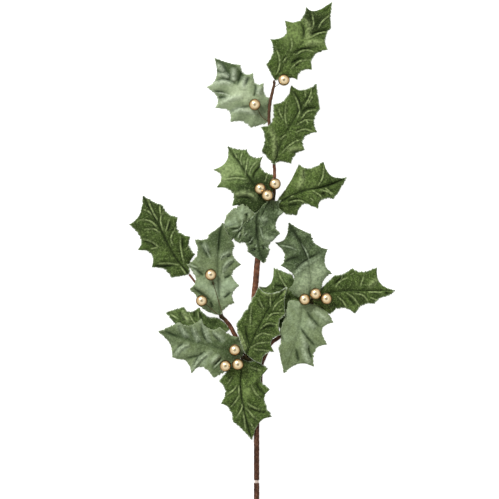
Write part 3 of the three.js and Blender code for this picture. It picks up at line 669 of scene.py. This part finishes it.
# For each drawn line: how far every point is from it in plan, and a fade toward its two ends
def reachLines(points, lines):
    reached = []
    shares = np.linspace(0, 1, relief["lineSteps"] + 1)
    far = relief["farthest"]
    for line in lines:
        drawn = smoothCurve([place(*mark) for mark in line], shares)[:, :2]
        gaps, travelled = np.full(len(points), far), np.zeros(len(points))
        inBox = (points[:, :2] > drawn.min(0) - far) & (points[:, :2] < drawn.max(0) + far)
        near = np.flatnonzero(inBox.all(1))
        starts, steps = drawn[:-1], np.diff(drawn, axis=0)
        offset = points[near, None, :2] - starts[None]
        share = np.clip((offset * steps).sum(2) / (steps ** 2).sum(1), 0, 1)
        gap = np.linalg.norm(offset - share[..., None] * steps, axis=2)
        nearest = gap.argmin(1)
        rows = np.arange(len(near))
        gaps[near] = gap[rows, nearest]
        travelled[near] = (nearest + share[rows, nearest]) / len(steps)
        reached.append((gaps, np.clip(np.sin(np.pi * travelled), 0, 1) ** relief["endFade"]))
    return reached


# How strongly each point lies on any of the lines, for lines of this width
def lineStrength(reached, width, count):
    strength = np.zeros(count)
    for gap, fade in reached:
        strength = np.maximum(strength, np.exp(-(gap / width) ** 2) * fade)
    return strength


# Crushed cloth: sharp-crested waves that run in many directions, from -1 to 1
def crushed(points):
    total = np.zeros(len(points))
    for _ in range(relief["crushWaves"]):
        turn, phase, bend = chance.uniform(0, math.tau, 3)
        length = chance.uniform(*relief["crushLength"]) * mm
        along = points[:, 0] * math.cos(turn) + points[:, 1] * math.sin(turn)
        across = points[:, 1] * math.cos(turn) - points[:, 0] * math.sin(turn)
        total += 1 - 2 * np.abs(np.sin(along / length * math.pi + phase + np.sin(across / length + bend)))
    return np.clip(total / 3, -1, 1)


# A slow, uneven wander along an edge of so many rows, from about -1 to 1
def wander(rows):
    steps = np.linspace(0, 1, rows + 1)
    waves = [np.sin(steps * turns * math.tau + chance.uniform(0, math.tau))
             for turns in relief["wanderTurns"]]
    return sum(waves) / 2


# The pressed pattern: pale vein ridges, broad folds, grooves beside the veins, creases, a sunk midrib and
# crushed nap; the grooves, creases and midrib are painted with shade
def pressPattern(leaf, points, middle, edge):
    count = len(points)
    veins, ridges, creases = (reachLines(points, leaf[key]) for key in ("veins", "ridges", "creases"))
    vein = lineStrength(veins, relief["veinWidth"], count)
    fromRib = np.linalg.norm((points - middle)[:, :2], axis=1)
    fromEdge = np.linalg.norm((edge - points)[:, :2], axis=1)
    nearRib = np.exp(-(fromRib / relief["cushionReach"]) ** 2)
    pressed = np.maximum(nearRib, lineStrength(veins + creases, relief["cushionReach"], count))
    return {
        "vein": vein,
        "groove": np.clip(lineStrength(veins, relief["grooveWidth"], count) - vein, 0, 1),
        "ridge": lineStrength(ridges, relief["ridgeWidth"], count),
        "crease": lineStrength(creases, relief["creaseWidth"], count),
        "midrib": np.exp(-(fromRib / relief["ribWidth"]) ** 2) * leaf["midrib"],
        "cushion": 1 - pressed,
        "crush": leaf["crumple"] * crushed(points),
        "rim": np.exp(-fromEdge / relief["rimReach"]),
    }


# What the velvet material reads at each point: pale veins with painted highlight on the folds, painted
# shade in the grooves, creases and midrib, painted light and shade as tone, and the cut rim
def leafPaint(leaf, points, pattern):
    # Painted light and painted shade: crushed crests lighter and hollows darker, then the patches
    tone = paints["crush"] * pattern["crush"]
    for column, line, reach, strength in leaf["patches"]:
        gap = np.linalg.norm((points - place(column, line))[:, :2], axis=1)
        tone += strength * np.exp(-(gap / (reach * pixelSize)) ** 2)
    # Painted shade in the creases, in the grooves beside the veins and along the midrib
    sunk = np.maximum(paints["crease"] * pattern["crease"], paints["midrib"] * pattern["midrib"])
    return {
        # Pale veins, and painted highlight on the broad folds
        "vein": np.maximum(paints["vein"] * pattern["vein"], paints["ridge"] * pattern["ridge"]),
        "crease": np.maximum(np.minimum(sunk, 1), pattern["groove"]),
        "tone": tone,
        "rim": pattern["rim"],
    }


def addPiece(name, bm, materials, nodes):
    mesh = bpy.data.meshes.new(name)
    bm.to_mesh(mesh)
    bm.free()
    for polygon in mesh.polygons:
        polygon.use_smooth = True
    piece = bpy.data.objects.new(name, mesh)
    bpy.context.scene.collection.objects.link(piece)
    for material in materials:
        mesh.materials.append(material)
    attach(piece, "root")
    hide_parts(*nodes)
    return piece


def paintPoints(piece, values):
    for name, value in values.items():
        attribute = piece.data.attributes.new(name, "FLOAT", "POINT")
        attribute.data.foreach_set("value", value.astype(np.float32))


def buildLeaf(name, leaf, materials):
    rows, columns = leafShape["rows"], leafShape["columns"]
    bm = bmesh.new()
    bmesh.ops.create_grid(bm, x_segments=columns, y_segments=rows, size=1)
    flat = np.array([vert.co[:2] for vert in bm.verts])
    across = flat[:, 0]
    row = np.rint((flat[:, 1] + 1) / 2 * rows).astype(int)
    along = row / rows
    onLeft = across < 0
    edges = {side: leafEdge(leaf, side) for side in ("left", "right")}
    frays = {side: relief["fray"] * chance.normal(0, 1, rows + 1)
             + relief["wander"] * leaf["crumple"] * wander(rows) for side in ("left", "right")}
    edge = np.where(onLeft[:, None], edges["left"][0][row], edges["right"][0][row])
    nearness = np.where(onLeft, edges["left"][1][row], edges["right"][1][row])
    fray = np.where(onLeft, frays["left"][row], frays["right"][row])
    fray *= np.clip(relief["endTaper"] * along * (1 - along), 0, 1)
    middle = ribOf(leaf, np.linspace(0, 1, rows + 1))[row]
    outward = (edge - middle) / np.linalg.norm(edge - middle, axis=1)[:, None]
    edge = edge + outward * fray[:, None]
    points = middle + (edge - middle) * np.abs(across)[:, None]

    pattern = pressPattern(leaf, points, middle, edge)
    lift = sum(rise * pattern[key] for key, rise in rises.items()) * (1 - pattern["rim"])
    height = bladeHeight(leaf, along, across, nearness) * mm + lift
    points[:, 2] = np.maximum(height, leafShape["thickness"] / 2)
    for vert, point in zip(bm.verts, points):
        vert.co = point
    bmesh.ops.recalc_face_normals(bm, faces=bm.faces)
    if sum(face.normal.z for face in bm.faces) < 0:
        bmesh.ops.reverse_faces(bm, faces=bm.faces)

    piece = addPiece(f"{name}_velvet", bm, materials, [name])
    paintPoints(piece, leafPaint(leaf, points, pattern))
    solidify = piece.modifiers.new("blade", "SOLIDIFY")
    solidify.thickness = leafShape["thickness"]
    solidify.offset = 0


# The linear colour that the nodes take, from an sRGB hex text
def colourOf(hexText):
    channels = [int(hexText[k:k + 2], 16) / 255 for k in (0, 2, 4)]
    return (*(c / 12.92 if c <= 0.04045 else ((c + 0.055) / 1.055) ** 2.4 for c in channels), 1)


def newMaterial(name):
    material = bpy.data.materials.new(name)
    material.use_nodes = True
    tree = material.node_tree
    return material, tree, tree.nodes["Principled BSDF"]


def connect(tree, source, target, name):
    tree.links.new(source, target.inputs[name])


def setInputs(node, values):
    for name, value in values.items():
        node.inputs[name].default_value = value


def noiseOn(tree, scale, detail, roughness=0.6):
    coordinates = tree.nodes.new("ShaderNodeTexCoord")
    noise = tree.nodes.new("ShaderNodeTexNoise")
    setInputs(noise, {"Scale": scale, "Detail": detail, "Roughness": roughness})
    connect(tree, coordinates.outputs["Object"], noise, "Vector")
    return noise.outputs["Fac"]


# Maps a value from the span low to high onto the span toLow to toHigh
def remap(tree, value, low, high, toLow=0, toHigh=1):
    node = tree.nodes.new("ShaderNodeMapRange")
    setInputs(node, {"From Min": low, "From Max": high, "To Min": toLow, "To Max": toHigh})
    connect(tree, value, node, "Value")
    return node.outputs["Result"]


def attributeOf(tree, name):
    node = tree.nodes.new("ShaderNodeAttribute")
    node.attribute_name = name
    return node.outputs["Fac"]


def times(tree, first, second):
    node = tree.nodes.new("ShaderNodeMath")
    node.operation = "MULTIPLY"
    tree.links.new(first, node.inputs[0])
    if isinstance(second, (int, float)):
        node.inputs[1].default_value = second
    else:
        tree.links.new(second, node.inputs[1])
    return node.outputs["Value"]


# Paints a colour over another where factor is 1
def paintOver(tree, under, over, factor, blend="MIX"):
    node = tree.nodes.new("ShaderNodeMix")
    node.data_type = "RGBA"
    node.blend_type = blend
    for socket, value in ((node.inputs[6], under), (node.inputs[7], over), (node.inputs[0], factor)):
        if isinstance(value, bpy.types.NodeSocket):
            tree.links.new(value, socket)
        else:
            socket.default_value = value
    return node.outputs[2]


def roughen(tree, shader, height, strength, distance):
    bump = tree.nodes.new("ShaderNodeBump")
    setInputs(bump, {"Strength": strength, "Distance": distance})
    connect(tree, height, bump, "Height")
    connect(tree, bump.outputs["Normal"], shader, "Normal")


# Velvet finishes, as sRGB hex colours read off the cloth: lit and shade are painted light and painted
# shade (lit is also the mottle's paler tone), crease is painted shade and the dark pits, ridge is the
# pale veins, fibre ends and painted highlight on folds
velvets = {
    "deepGreen": {"pile": "41551f", "lit": "74874d", "shade": "1f2c09", "ridge": "93a36c",
                  "crease": "192608", "cut": "a3ad96", "dots": 0.75},
    "leafGreen": {"pile": "526732", "lit": "90a36c", "shade": "243410", "ridge": "9aaa76",
                  "crease": "243310", "cut": "a3ad96", "dots": 0.65},
    "dustyGreen": {"pile": "4d5e38", "lit": "a1b08c", "shade": "28361b", "ridge": "93a184",
                   "crease": "232f16", "cut": "7d8a69", "dots": 0.6},
    "sage": {"pile": "707e56", "lit": "a5b795", "shade": "3c4c28", "ridge": "aab89a",
             "crease": "2c3c1e", "cut": "95a181", "dots": 0.38},
    "silverSage": {"pile": "8d9c77", "lit": "c5d2ae", "shade": "3a4a26", "ridge": "c4d0b5",
                   "crease": "34452a", "cut": "b6bfab", "dots": 0.25},
}

# Scales of the noises, the spans of noise that each effect starts and ends at, and its share
nap = {
    "mottleScale": 90, "grainScale": 700, "tuftScale": 330,
    "mottleSpan": (0.35, 0.7), "pitSpan": (0.5, 0.36), "endSpan": (0.55, 0.69),
    "wornSpan": (0.32, 0.58), "rimSpan": (0.35, 0.75), "speckleSpan": (0.34, 0.66),
    "mottleShare": 0.5, "litShare": 0.9, "shadeShare": 0.95, "creaseShare": 0.85, "rimShare": 0.9,
    "litTone": 0.8, "litDots": 0.3, "leastWorn": 0.5, "speckleShare": 0.5,
    "bump": 0.6, "bumpDepth": 0.6 * mm,
    "surface": {"Roughness": 0.9, "Specular IOR Level": 0.2,
                "Sheen Weight": 0.18, "Sheen Roughness": 0.45},
}


def makeVelvet(name, finish):
    material, tree, shader = newMaterial(name)
    dots = finish["dots"]
    colours = {key: colourOf(value) for key, value in finish.items() if key != "dots"}
    mottle = noiseOn(tree, nap["mottleScale"], 3)
    mottle = remap(tree, mottle, *nap["mottleSpan"], 0, nap["mottleShare"] * dots)
    colour = paintOver(tree, colours["pile"], colours["lit"], mottle)
    # Painted light and painted shade, from the tone attribute
    tone = attributeOf(tree, "tone")
    colour = paintOver(tree, colour, colours["lit"], remap(tree, tone, 0, 1, 0, nap["litShare"]))
    colour = paintOver(tree, colour, colours["shade"], remap(tree, tone, 0, -1, 0, nap["shadeShare"]))

    # Worn pile: dark pits and pale fibre ends, fewer where light is painted on
    grain = noiseOn(tree, nap["grainScale"], 3, 0.8)
    tufts = noiseOn(tree, nap["tuftScale"], 2)
    coarse = remap(tree, tone, 0, nap["litTone"], dots, nap["litDots"] * dots)
    pits = times(tree, remap(tree, grain, *nap["pitSpan"]), coarse)
    colour = paintOver(tree, colour, colours["crease"], pits)
    ends = times(tree, remap(tree, grain, *nap["endSpan"]), coarse)
    colour = paintOver(tree, colour, colours["ridge"], ends)

    # Painted shade in creases, grooves and along the midrib; pale veins with painted highlight on the
    # folds, and the cut rim, these two worn away in places
    worn = remap(tree, tufts, *nap["wornSpan"], nap["leastWorn"], 1)
    creaseShade = times(tree, attributeOf(tree, "crease"), nap["creaseShare"])
    colour = paintOver(tree, colour, colours["crease"], creaseShade)
    colour = paintOver(tree, colour, colours["ridge"], times(tree, attributeOf(tree, "vein"), worn))
    frayed = remap(tree, attributeOf(tree, "rim"), *nap["rimSpan"], 0, nap["rimShare"])
    colour = paintOver(tree, colour, colours["cut"], times(tree, frayed, worn))
    swing = nap["speckleShare"] * dots
    speckle = remap(tree, tufts, *nap["speckleSpan"], 1 - swing, 1 + swing)
    grey = tree.nodes.new("ShaderNodeCombineColor")
    for channel in ("Red", "Green", "Blue"):
        connect(tree, speckle, grey, channel)
    dusted = paintOver(tree, colour, grey.outputs["Color"], 1.0, "MULTIPLY")
    connect(tree, dusted, shader, "Base Color")
    setInputs(shader, nap["surface"])
    shader.inputs["Sheen Tint"].default_value = colours["ridge"]
    roughen(tree, shader, grain, nap["bump"], nap["bumpDepth"])
    return material


velvetMaterials = {key: makeVelvet(f"{key}Velvet", finish) for key, finish in velvets.items()}
print("velvets:", ", ".join(velvets))
for leafName, leaf in leaves.items():
    buildLeaf(leafName, leaf, [velvetMaterials[leaf["velvet"]]])
print("leaves built:", len(leaves))


# Stems. Routes and gum have column, row, height and radius, the last two in millimetres: gum is a lump
# wound over a joint. Stalks start where they leave the stem, at column, row and height. A bead has its
# centre and the first two points of its wire.
footColumn = 256.6
footRadius = 3.2
solidSides = 10  # the solid foot has ten flat sides and lies on one of them
footHeight = footRadius * math.cos(math.pi / solidSides)

stems = {}
stems["main_stem"] = {
    "route": [
        (footColumn, 480.1, footHeight, footRadius), (footColumn, 440, footHeight, footRadius),
        (footColumn, 400, footHeight, footRadius), (footColumn, 372, footHeight, footRadius),
        (255.4, 345, 3.8, 3.3), (254.4, 320, 5.6, 3.5), (254.3, 297, 7, 3.55), (255.8, 281, 7.6, 3.55),
        (257.8, 259, 8, 3.5), (263.5, 232, 8.4, 3.0), (269.5, 212, 8.6, 2.3), (273.6, 198, 8.8, 1.9),
        (274.6, 180, 9, 1.85), (274.1, 164, 9, 1.8), (271.4, 142, 9, 1.75), (269, 119, 9, 1.75),
        (270, 103.6, 9, 1.8), (272.2, 93, 9.2, 1.75), (274.8, 82, 9.6, 1.4),
    ],
    "stalks": {
        "crown_leaf": (274.2, 84, 9.6), "upper_left_leaf": (269.5, 127, 8.5),
        "upper_right_leaf": (274.2, 169, 9.2), "middle_left_leaf": (268.8, 211, 8.2),
        "middle_right_leaf": (271, 207, 8.6), "middle_drooping_leaf": (273.6, 195, 9),
        "middle_low_leaf": (266.4, 217, 8.6), "lower_right_leaf": (254.8, 362, 5),
    },
    "beads": [
        [(283.8, 80.3, 19.9), (273.4, 88, 9.4), (276.5, 86, 12)],
        [(254.7, 104.8, 17.4), (269.2, 122, 9.2), (262, 117, 11.5)],
        [(274.9, 184, 19), (274.3, 190, 9), (274.6, 187.5, 10.6)],
        [(260.2, 188.8, 16.2), (274, 194, 9), (267.5, 192, 10.5)],
        [(267.4, 195.6, 25.2), (274.2, 192, 9), (272.4, 193.5, 12.5)],
    ],
    "gum": [],
}
stems["left_branch"] = {
    "route": [
        (250.8, 368, 4, 2.4), (249, 360, 4.5, 2.8), (243.2, 347, 5.4, 2.9), (235.4, 336, 5.8, 2.6),
        (229.5, 325, 6.6, 2.4), (221.5, 316, 7.6, 2.1), (210, 301, 6.8, 1.4), (195, 282, 6.4, 1.1),
    ],
    "stalks": {
        "left_center_leaf": (222, 318.5, 8), "left_tip_leaf": (197, 284.6, 6.5),
        "left_under_leaf": (234.5, 334.5, 5.6), "lower_left_leaf": (246.5, 354.5, 6.6),
        "lower_bottom_leaf": (248.8, 358, 6),
    },
    "beads": [
        [(210.9, 274.6, 24.4), (224.5, 319.5, 7.2), (222.6, 314, 16.5)],
        [(201.8, 300.5, 20.9), (223.5, 318.4, 7.4), (216.6, 313.2, 14.8)],
        [(234.8, 349.6, 22.4), (249, 359, 5.6), (243.5, 357.5, 13.5)],
        [(225.5, 365.6, 19.4), (249, 359.5, 5.6), (242.5, 358.6, 12)],
        [(237.9, 364, 22.9), (249.3, 360, 5.6), (245, 359.8, 12)],
    ],
    "gum": [
        [(239.6, 356, 6, 2), (245.5, 358.3, 6.8, 3.6), (251.5, 361, 6, 2.2)],
        [(243.5, 349.5, 6, 1.4), (245.5, 354, 6.6, 2.6), (249.5, 358.5, 6.4, 2.2)],
    ],
}
stems["right_branch"] = {
    "route": [
        (260.9, 384, 3, 1.9), (261, 373, 3.4, 1.9), (262, 364, 4.6, 2.1), (265.3, 355.6, 5.4, 2.2),
        (271, 343.5, 5.4, 2.2), (280.4, 336.4, 5.4, 2.2), (293, 323, 6, 2.1), (308.4, 300.6, 7.2, 1.6),
    ],
    "stalks": {
        "right_back_leaf": (306.6, 302.6, 6.8), "right_upper_leaf": (307, 304.5, 7),
        "right_tip_leaf": (307.6, 301.4, 7.2), "right_lower_leaf": (307.4, 301.6, 7),
    },
    "beads": [
        [(304.4, 299.2, 20.4), (307.8, 301.4, 7), (306.5, 301.2, 11)],
        [(315.2, 293.6, 22.4), (308.2, 300.8, 7.2), (312.8, 300.4, 12.5)],
        [(326.1, 298.5, 19.4), (308.2, 300.8, 7.2), (313.5, 301, 11.5)],
    ],
    "gum": [[(304.5, 302.6, 7, 1.4), (309.5, 302.2, 7.4, 2.4), (313.5, 303.6, 7, 1.4)]],
}

beadRadius = 7.4 * mm
wires = {"radius": 0.42 * mm, "sunk": 0.5 * mm, "sides": 12}
stalks = {"radius": 1.375 * mm, "gap": 0.5 * mm, "lead": 2.5 * mm, "ribShare": 0.02, "sides": 14}
wrapping = {"turn": 7.5 * mm, "step": 0.3 * mm, "layer": 0.35 * mm, "sides": 32}
core = {"radius": 2.7 * mm, "length": 150 * mm, "sides": 24}
tubes = {"step": 1.5 * mm, "leastSteps": 6, "weld": 0.002 * mm}
gumSides = 20
breakLower = 483.3  # row where the tape starts again below the break near the foot

# Painted shade on the joints, where leaves and beads crowd over the tape: column, row and reach in pixels
joints = [(274, 197, 7), (249, 358, 8), (308, 301.5, 6), (222, 318, 5)]


# A closed tube along a route, with a radius for each point; tape winds round it in a low step
def addTube(bm, route, radii, around, tapeStep=0, finish=0):
    lengths = np.linalg.norm(np.diff(route, axis=0), axis=1)
    steps = max(tubes["leastSteps"], round(lengths.sum() / tubes["step"]))
    shares = np.linspace(0, 1, steps + 1)
    middle = smoothCurve(route, shares)
    ahead = np.gradient(middle, axis=0)
    ahead /= np.linalg.norm(ahead, axis=1)[:, None]
    aside = np.cross(ahead, [0, 0, 1])
    aside /= np.linalg.norm(aside, axis=1)[:, None]
    above = np.cross(aside, ahead)
    layer = wrapping["layer"] if tapeStep else 0
    radius = np.interp(shares, np.linspace(0, 1, len(route)), radii) + layer
    travelled = np.concatenate([[0], np.cumsum(np.linalg.norm(np.diff(middle, axis=0), axis=1))])
    verts = bmesh.ops.create_grid(bm, x_segments=around, y_segments=steps, size=1)["verts"]
    for vert in verts:
        turn = (vert.co.x + 1) / 2
        k = round((vert.co.y + 1) / 2 * steps)
        angle = turn * 2 * math.pi
        wound = (travelled[k] / wrapping["turn"] + turn) % 1
        outward = math.cos(angle) * aside[k] + math.sin(angle) * above[k]
        point = middle[k] + (radius[k] - tapeStep * wound) * outward
        vert.co = (point[0], point[1], max(point[2], 0))
    bmesh.ops.remove_doubles(bm, verts=verts, dist=tubes["weld"])
    bmesh.ops.holes_fill(bm, edges=[edge for edge in bm.edges if edge.is_boundary])
    for vert in verts:
        if vert.is_valid:
            for face in vert.link_faces:
                face.material_index = finish


# A tube whose marks give its column, row, height and radius
def addMarked(bm, marks, around, tapeStep=0, finish=0):
    route = [place(*mark[:3]) for mark in marks]
    addTube(bm, route, [mark[3] * mm for mark in marks], around, tapeStep, finish)


def closeUp(bm):
    bmesh.ops.recalc_face_normals(bm, faces=bm.faces)


# From the stem to just short of the leaf, in line with its rib
def stalkRoute(leaf, root):
    base = place(*leaf["base"], leaf["height"]["base"])
    inward = unit(np.diff(ribOf(leaf, [0, stalks["ribShare"]]), axis=0)[0])
    gap = stalks["gap"]
    return [place(*root), base - inward * (gap + stalks["lead"]), base - inward * gap]


def wireRoute(centre, root, bend):
    centre, root, bend = place(*centre), place(*root), place(*bend)
    return [root, bend, centre + unit(bend - centre) * (beadRadius - wires["sunk"])]


tapes = {
    "stem": {"tape": "764c38", "worn": "9d765d", "shade": "322017", "low": "4c2f22", "high": "4f3c2c",
             "joint": "29260f"},
    "wire": {"tape": "57492f", "worn": "776a4e", "shade": "2b2414", "low": "4a3d26", "high": "57492f",
             "joint": "29260f"},
}

# The tape darkens toward the foot and the top: the spans are places along Y, in metres
tapeWear = {
    "fibreScale": 420, "blotchScale": 140, "lowSpan": (-0.06, -0.16), "highSpan": (0.13, 0.17),
    "wornSpan": (0.5, 0.72), "wornShare": 0.75, "blotchSpan": (0.42, 0.62), "blotchShare": 0.8,
    "highShare": 0.75, "jointShadeShare": 0.9, "bump": 0.6, "bumpDepth": 0.35 * mm,
    "surface": {"Roughness": 0.75, "Specular IOR Level": 0.12},
}


def makeTape(name, finish):
    material, tree, shader = newMaterial(name)
    colours = {key: colourOf(value) for key, value in finish.items()}
    coordinates = tree.nodes.new("ShaderNodeTexCoord")
    parts = tree.nodes.new("ShaderNodeSeparateXYZ")
    connect(tree, coordinates.outputs["Object"], parts, "Vector")
    upward = parts.outputs["Y"]
    fibres = noiseOn(tree, tapeWear["fibreScale"], 4, 0.7)
    blotch = noiseOn(tree, tapeWear["blotchScale"], 3)
    low = remap(tree, upward, *tapeWear["lowSpan"])
    worn = remap(tree, fibres, *tapeWear["wornSpan"], 0, tapeWear["wornShare"])
    shade = remap(tree, blotch, *tapeWear["blotchSpan"], 0, tapeWear["blotchShare"])
    high = remap(tree, upward, *tapeWear["highSpan"], 0, tapeWear["highShare"])
    # Painted shade on the joints
    joint = times(tree, attributeOf(tree, "joint"), tapeWear["jointShadeShare"])
    colour = colours["tape"]
    for key, factor in (("low", low), ("worn", worn), ("shade", shade), ("high", high), ("joint", joint)):
        colour = paintOver(tree, colour, colours[key], factor)
    connect(tree, colour, shader, "Base Color")
    setInputs(shader, tapeWear["surface"])
    roughen(tree, shader, fibres, tapeWear["bump"], tapeWear["bumpDepth"])
    return material


coreFinish = {"core": "cdbbaf", "grain": "a8958a", "grainScale": 500, "grainSpan": (0.4, 0.7),
              "roughness": 0.7, "bump": 0.3, "bumpDepth": 0.2 * mm}


def makeCore():
    material, tree, shader = newMaterial("paleCore")
    grain = noiseOn(tree, coreFinish["grainScale"], 4)
    factor = remap(tree, grain, *coreFinish["grainSpan"])
    colour = paintOver(tree, colourOf(coreFinish["core"]), colourOf(coreFinish["grain"]), factor)
    connect(tree, colour, shader, "Base Color")
    shader.inputs["Roughness"].default_value = coreFinish["roughness"]
    roughen(tree, shader, grain, coreFinish["bump"], coreFinish["bumpDepth"])
    return material


tapeMaterial = makeTape("brownTape", tapes["stem"])
wireMaterial = makeTape("wireTape", tapes["wire"])
coreMaterial = makeCore()


# A wrapped stem with the stalks of its leaves, the wires of its beads, the gum on its joints and painted
# shade round them
def buildStem(stemName, stem):
    bm = bmesh.new()
    addMarked(bm, stem["route"], wrapping["sides"], wrapping["step"])
    for name, root in stem["stalks"].items():
        addTube(bm, stalkRoute(leaves[name], root), [stalks["radius"]] * 3, stalks["sides"])
    for bead in stem["beads"]:
        addTube(bm, wireRoute(*bead), [wires["radius"]] * 3, wires["sides"], finish=1)
    for marks in stem["gum"]:
        addMarked(bm, marks, gumSides, finish=1)
    closeUp(bm)
    piece = addPiece(f"{stemName}_tape", bm, [tapeMaterial, wireMaterial], [stemName])
    spots = np.array([vert.co for vert in piece.data.vertices])
    # Painted shade, darkest at the joints
    shaded = np.zeros(len(spots))
    for column, line, reach in joints:
        gap = np.linalg.norm((spots - place(column, line))[:, :2], axis=1)
        shaded = np.maximum(shaded, np.exp(-(gap / (reach * pixelSize)) ** 4))
    paintPoints(piece, {"joint": shaded})


# A straight length of the foot between two rows
def buildLength(name, rows, radius, around, material, node, tapeStep=0):
    bm = bmesh.new()
    ends = [place(footColumn, row, footHeight) for row in rows]
    addTube(bm, ends, [radius] * 2, around, tapeStep)
    closeUp(bm)
    addPiece(name, bm, [material], [node])


for stemName, stem in stems.items():
    buildStem(stemName, stem)
cutEnd = photo["cutEndRow"]
coreTop = cutEnd - core["length"] / pixelSize
buildLength("foot_tape", (breakLower, cutEnd), footRadius * mm, wrapping["sides"],
            tapeMaterial, "foot_wrap", wrapping["step"])
buildLength("pale_core", (coreTop, cutEnd), core["radius"], core["sides"],
            coreMaterial, "stem_core")
print("stems built:", len(stems))


# Spans are of the skin's turn away from the eye: 0 faces it, 1 is edge on. Side and rim are painted shade
# and painted reflection, darker toward the bead's edge as the eye sees it
pearl = {
    "skin": "fdeac0", "fleck": "e3bf88", "side": "b0864a", "rim": "5c421d", "fleckScale": 800,
    "fleckSpan": (0.4, 0.7), "fleckShare": 0.3, "sideShadeSpan": (0.09, 0.36), "sideShadeShare": 0.85,
    "rimSpan": (0.3, 0.6), "fineness": 4, "surface": {"Metallic": 0.9, "Roughness": 0.28},
}


def makePearl():
    material, tree, shader = newMaterial("pearlGold")
    facing = tree.nodes.new("ShaderNodeLayerWeight")
    facing.inputs["Blend"].default_value = 0.5
    turn = facing.outputs["Facing"]
    flecks = noiseOn(tree, pearl["fleckScale"], 3)
    flecks = remap(tree, flecks, *pearl["fleckSpan"], 0, pearl["fleckShare"])
    # Painted shade and painted reflection on the bead's sides and rim, by its turn from the eye
    side = remap(tree, turn, *pearl["sideShadeSpan"], 0, pearl["sideShadeShare"])
    rim = remap(tree, turn, *pearl["rimSpan"])
    colour = colourOf(pearl["skin"])
    for key, factor in (("fleck", flecks), ("side", side), ("rim", rim)):
        colour = paintOver(tree, colour, colourOf(pearl[key]), factor)
    connect(tree, colour, shader, "Base Color")
    setInputs(shader, pearl["surface"])
    return material


goldMaterial = makePearl()
centres = [bead[0] for stem in stems.values() for bead in stem["beads"]]
for number, centre in enumerate(centres, 1):
    bm = bmesh.new()
    bmesh.ops.create_icosphere(bm, subdivisions=pearl["fineness"], radius=beadRadius)
    bmesh.ops.translate(bm, verts=bm.verts, vec=place(*centre))
    addPiece(f"bead_{number:02d}_pearl", bm, [goldMaterial], [f"bead_{number:02d}"])
print("beads built:", len(centres))


# The table, the light and the camera that looks straight down. Sky stops: height in the sky, brightness
stage = {
    "tableSide": 14, "tableDrop": 0.4 * mm, "skyStrength": 0.78, "sunStrength": 2.3, "sunAngle": 14,
    "sunTurn": (-38, -32, 0), "lens": 288, "sensor": 36, "focusHeight": 8 * mm, "clipEnd": 100,
    "skyStops": ((0, 0.9), (0.3, 0.95), (0.5, 1.0), (0.84, 1.35), (0.9, 0.18), (1, 0.15)),
    "tableSurface": {"Base Color": (0.42, 0.42, 0.42, 1), "Roughness": 0.9, "Specular IOR Level": 0.1,
                     "Emission Color": (1, 1, 1, 1), "Emission Strength": 0.88},
}


def buildTable():
    bm = bmesh.new()
    bmesh.ops.create_grid(bm, x_segments=1, y_segments=1, size=stage["tableSide"] / 2)
    bmesh.ops.translate(bm, verts=bm.verts, vec=(0, 0, -stage["tableDrop"]))
    mesh = bpy.data.meshes.new("table")
    bm.to_mesh(mesh)
    bm.free()
    material, _, shader = newMaterial("paleTable")
    setInputs(shader, stage["tableSurface"])
    mesh.materials.append(material)
    table = bpy.data.objects.new("table", mesh)
    bpy.context.scene.collection.objects.link(table)


def buildSky():
    world = bpy.data.worlds.new("softSky")
    bpy.context.scene.world = world
    world.use_nodes = True
    tree = world.node_tree
    background = tree.nodes["Background"]
    coordinates = tree.nodes.new("ShaderNodeTexCoord")
    parts = tree.nodes.new("ShaderNodeSeparateXYZ")
    connect(tree, coordinates.outputs["Generated"], parts, "Vector")
    ramp = tree.nodes.new("ShaderNodeValToRGB")
    connect(tree, parts.outputs["Z"], ramp, "Fac")
    while len(ramp.color_ramp.elements) < len(stage["skyStops"]):
        ramp.color_ramp.elements.new(0.5)
    for element, (position, level) in zip(ramp.color_ramp.elements, stage["skyStops"]):
        element.position = position
        element.color = (level, level, level, 1)
    connect(tree, ramp.outputs["Color"], background, "Color")
    background.inputs["Strength"].default_value = stage["skyStrength"]


def buildSun():
    sun = bpy.data.lights.new("softKey", "SUN")
    sun.energy = stage["sunStrength"]
    sun.angle = math.radians(stage["sunAngle"])
    key = bpy.data.objects.new("softKey", sun)
    key.rotation_euler = [math.radians(turn) for turn in stage["sunTurn"]]
    bpy.context.scene.collection.objects.link(key)


def buildCamera():
    camera = bpy.data.cameras.new("overhead")
    camera.lens = stage["lens"]
    camera.sensor_width = stage["sensor"]
    camera.clip_end = stage["clipEnd"]
    overhead = bpy.data.objects.new("overhead", camera)
    centre = place(photo["side"] / 2, photo["side"] / 2)
    width = photo["side"] * pixelSize
    distance = width * stage["lens"] / stage["sensor"] + stage["focusHeight"]
    overhead.location = (centre[0], centre[1], distance)
    bpy.context.scene.collection.objects.link(overhead)
    bpy.context.scene.camera = overhead


buildTable()
buildSky()
buildSun()
buildCamera()
bpy.context.scene.view_settings.view_transform = "Standard"
print("stage set")
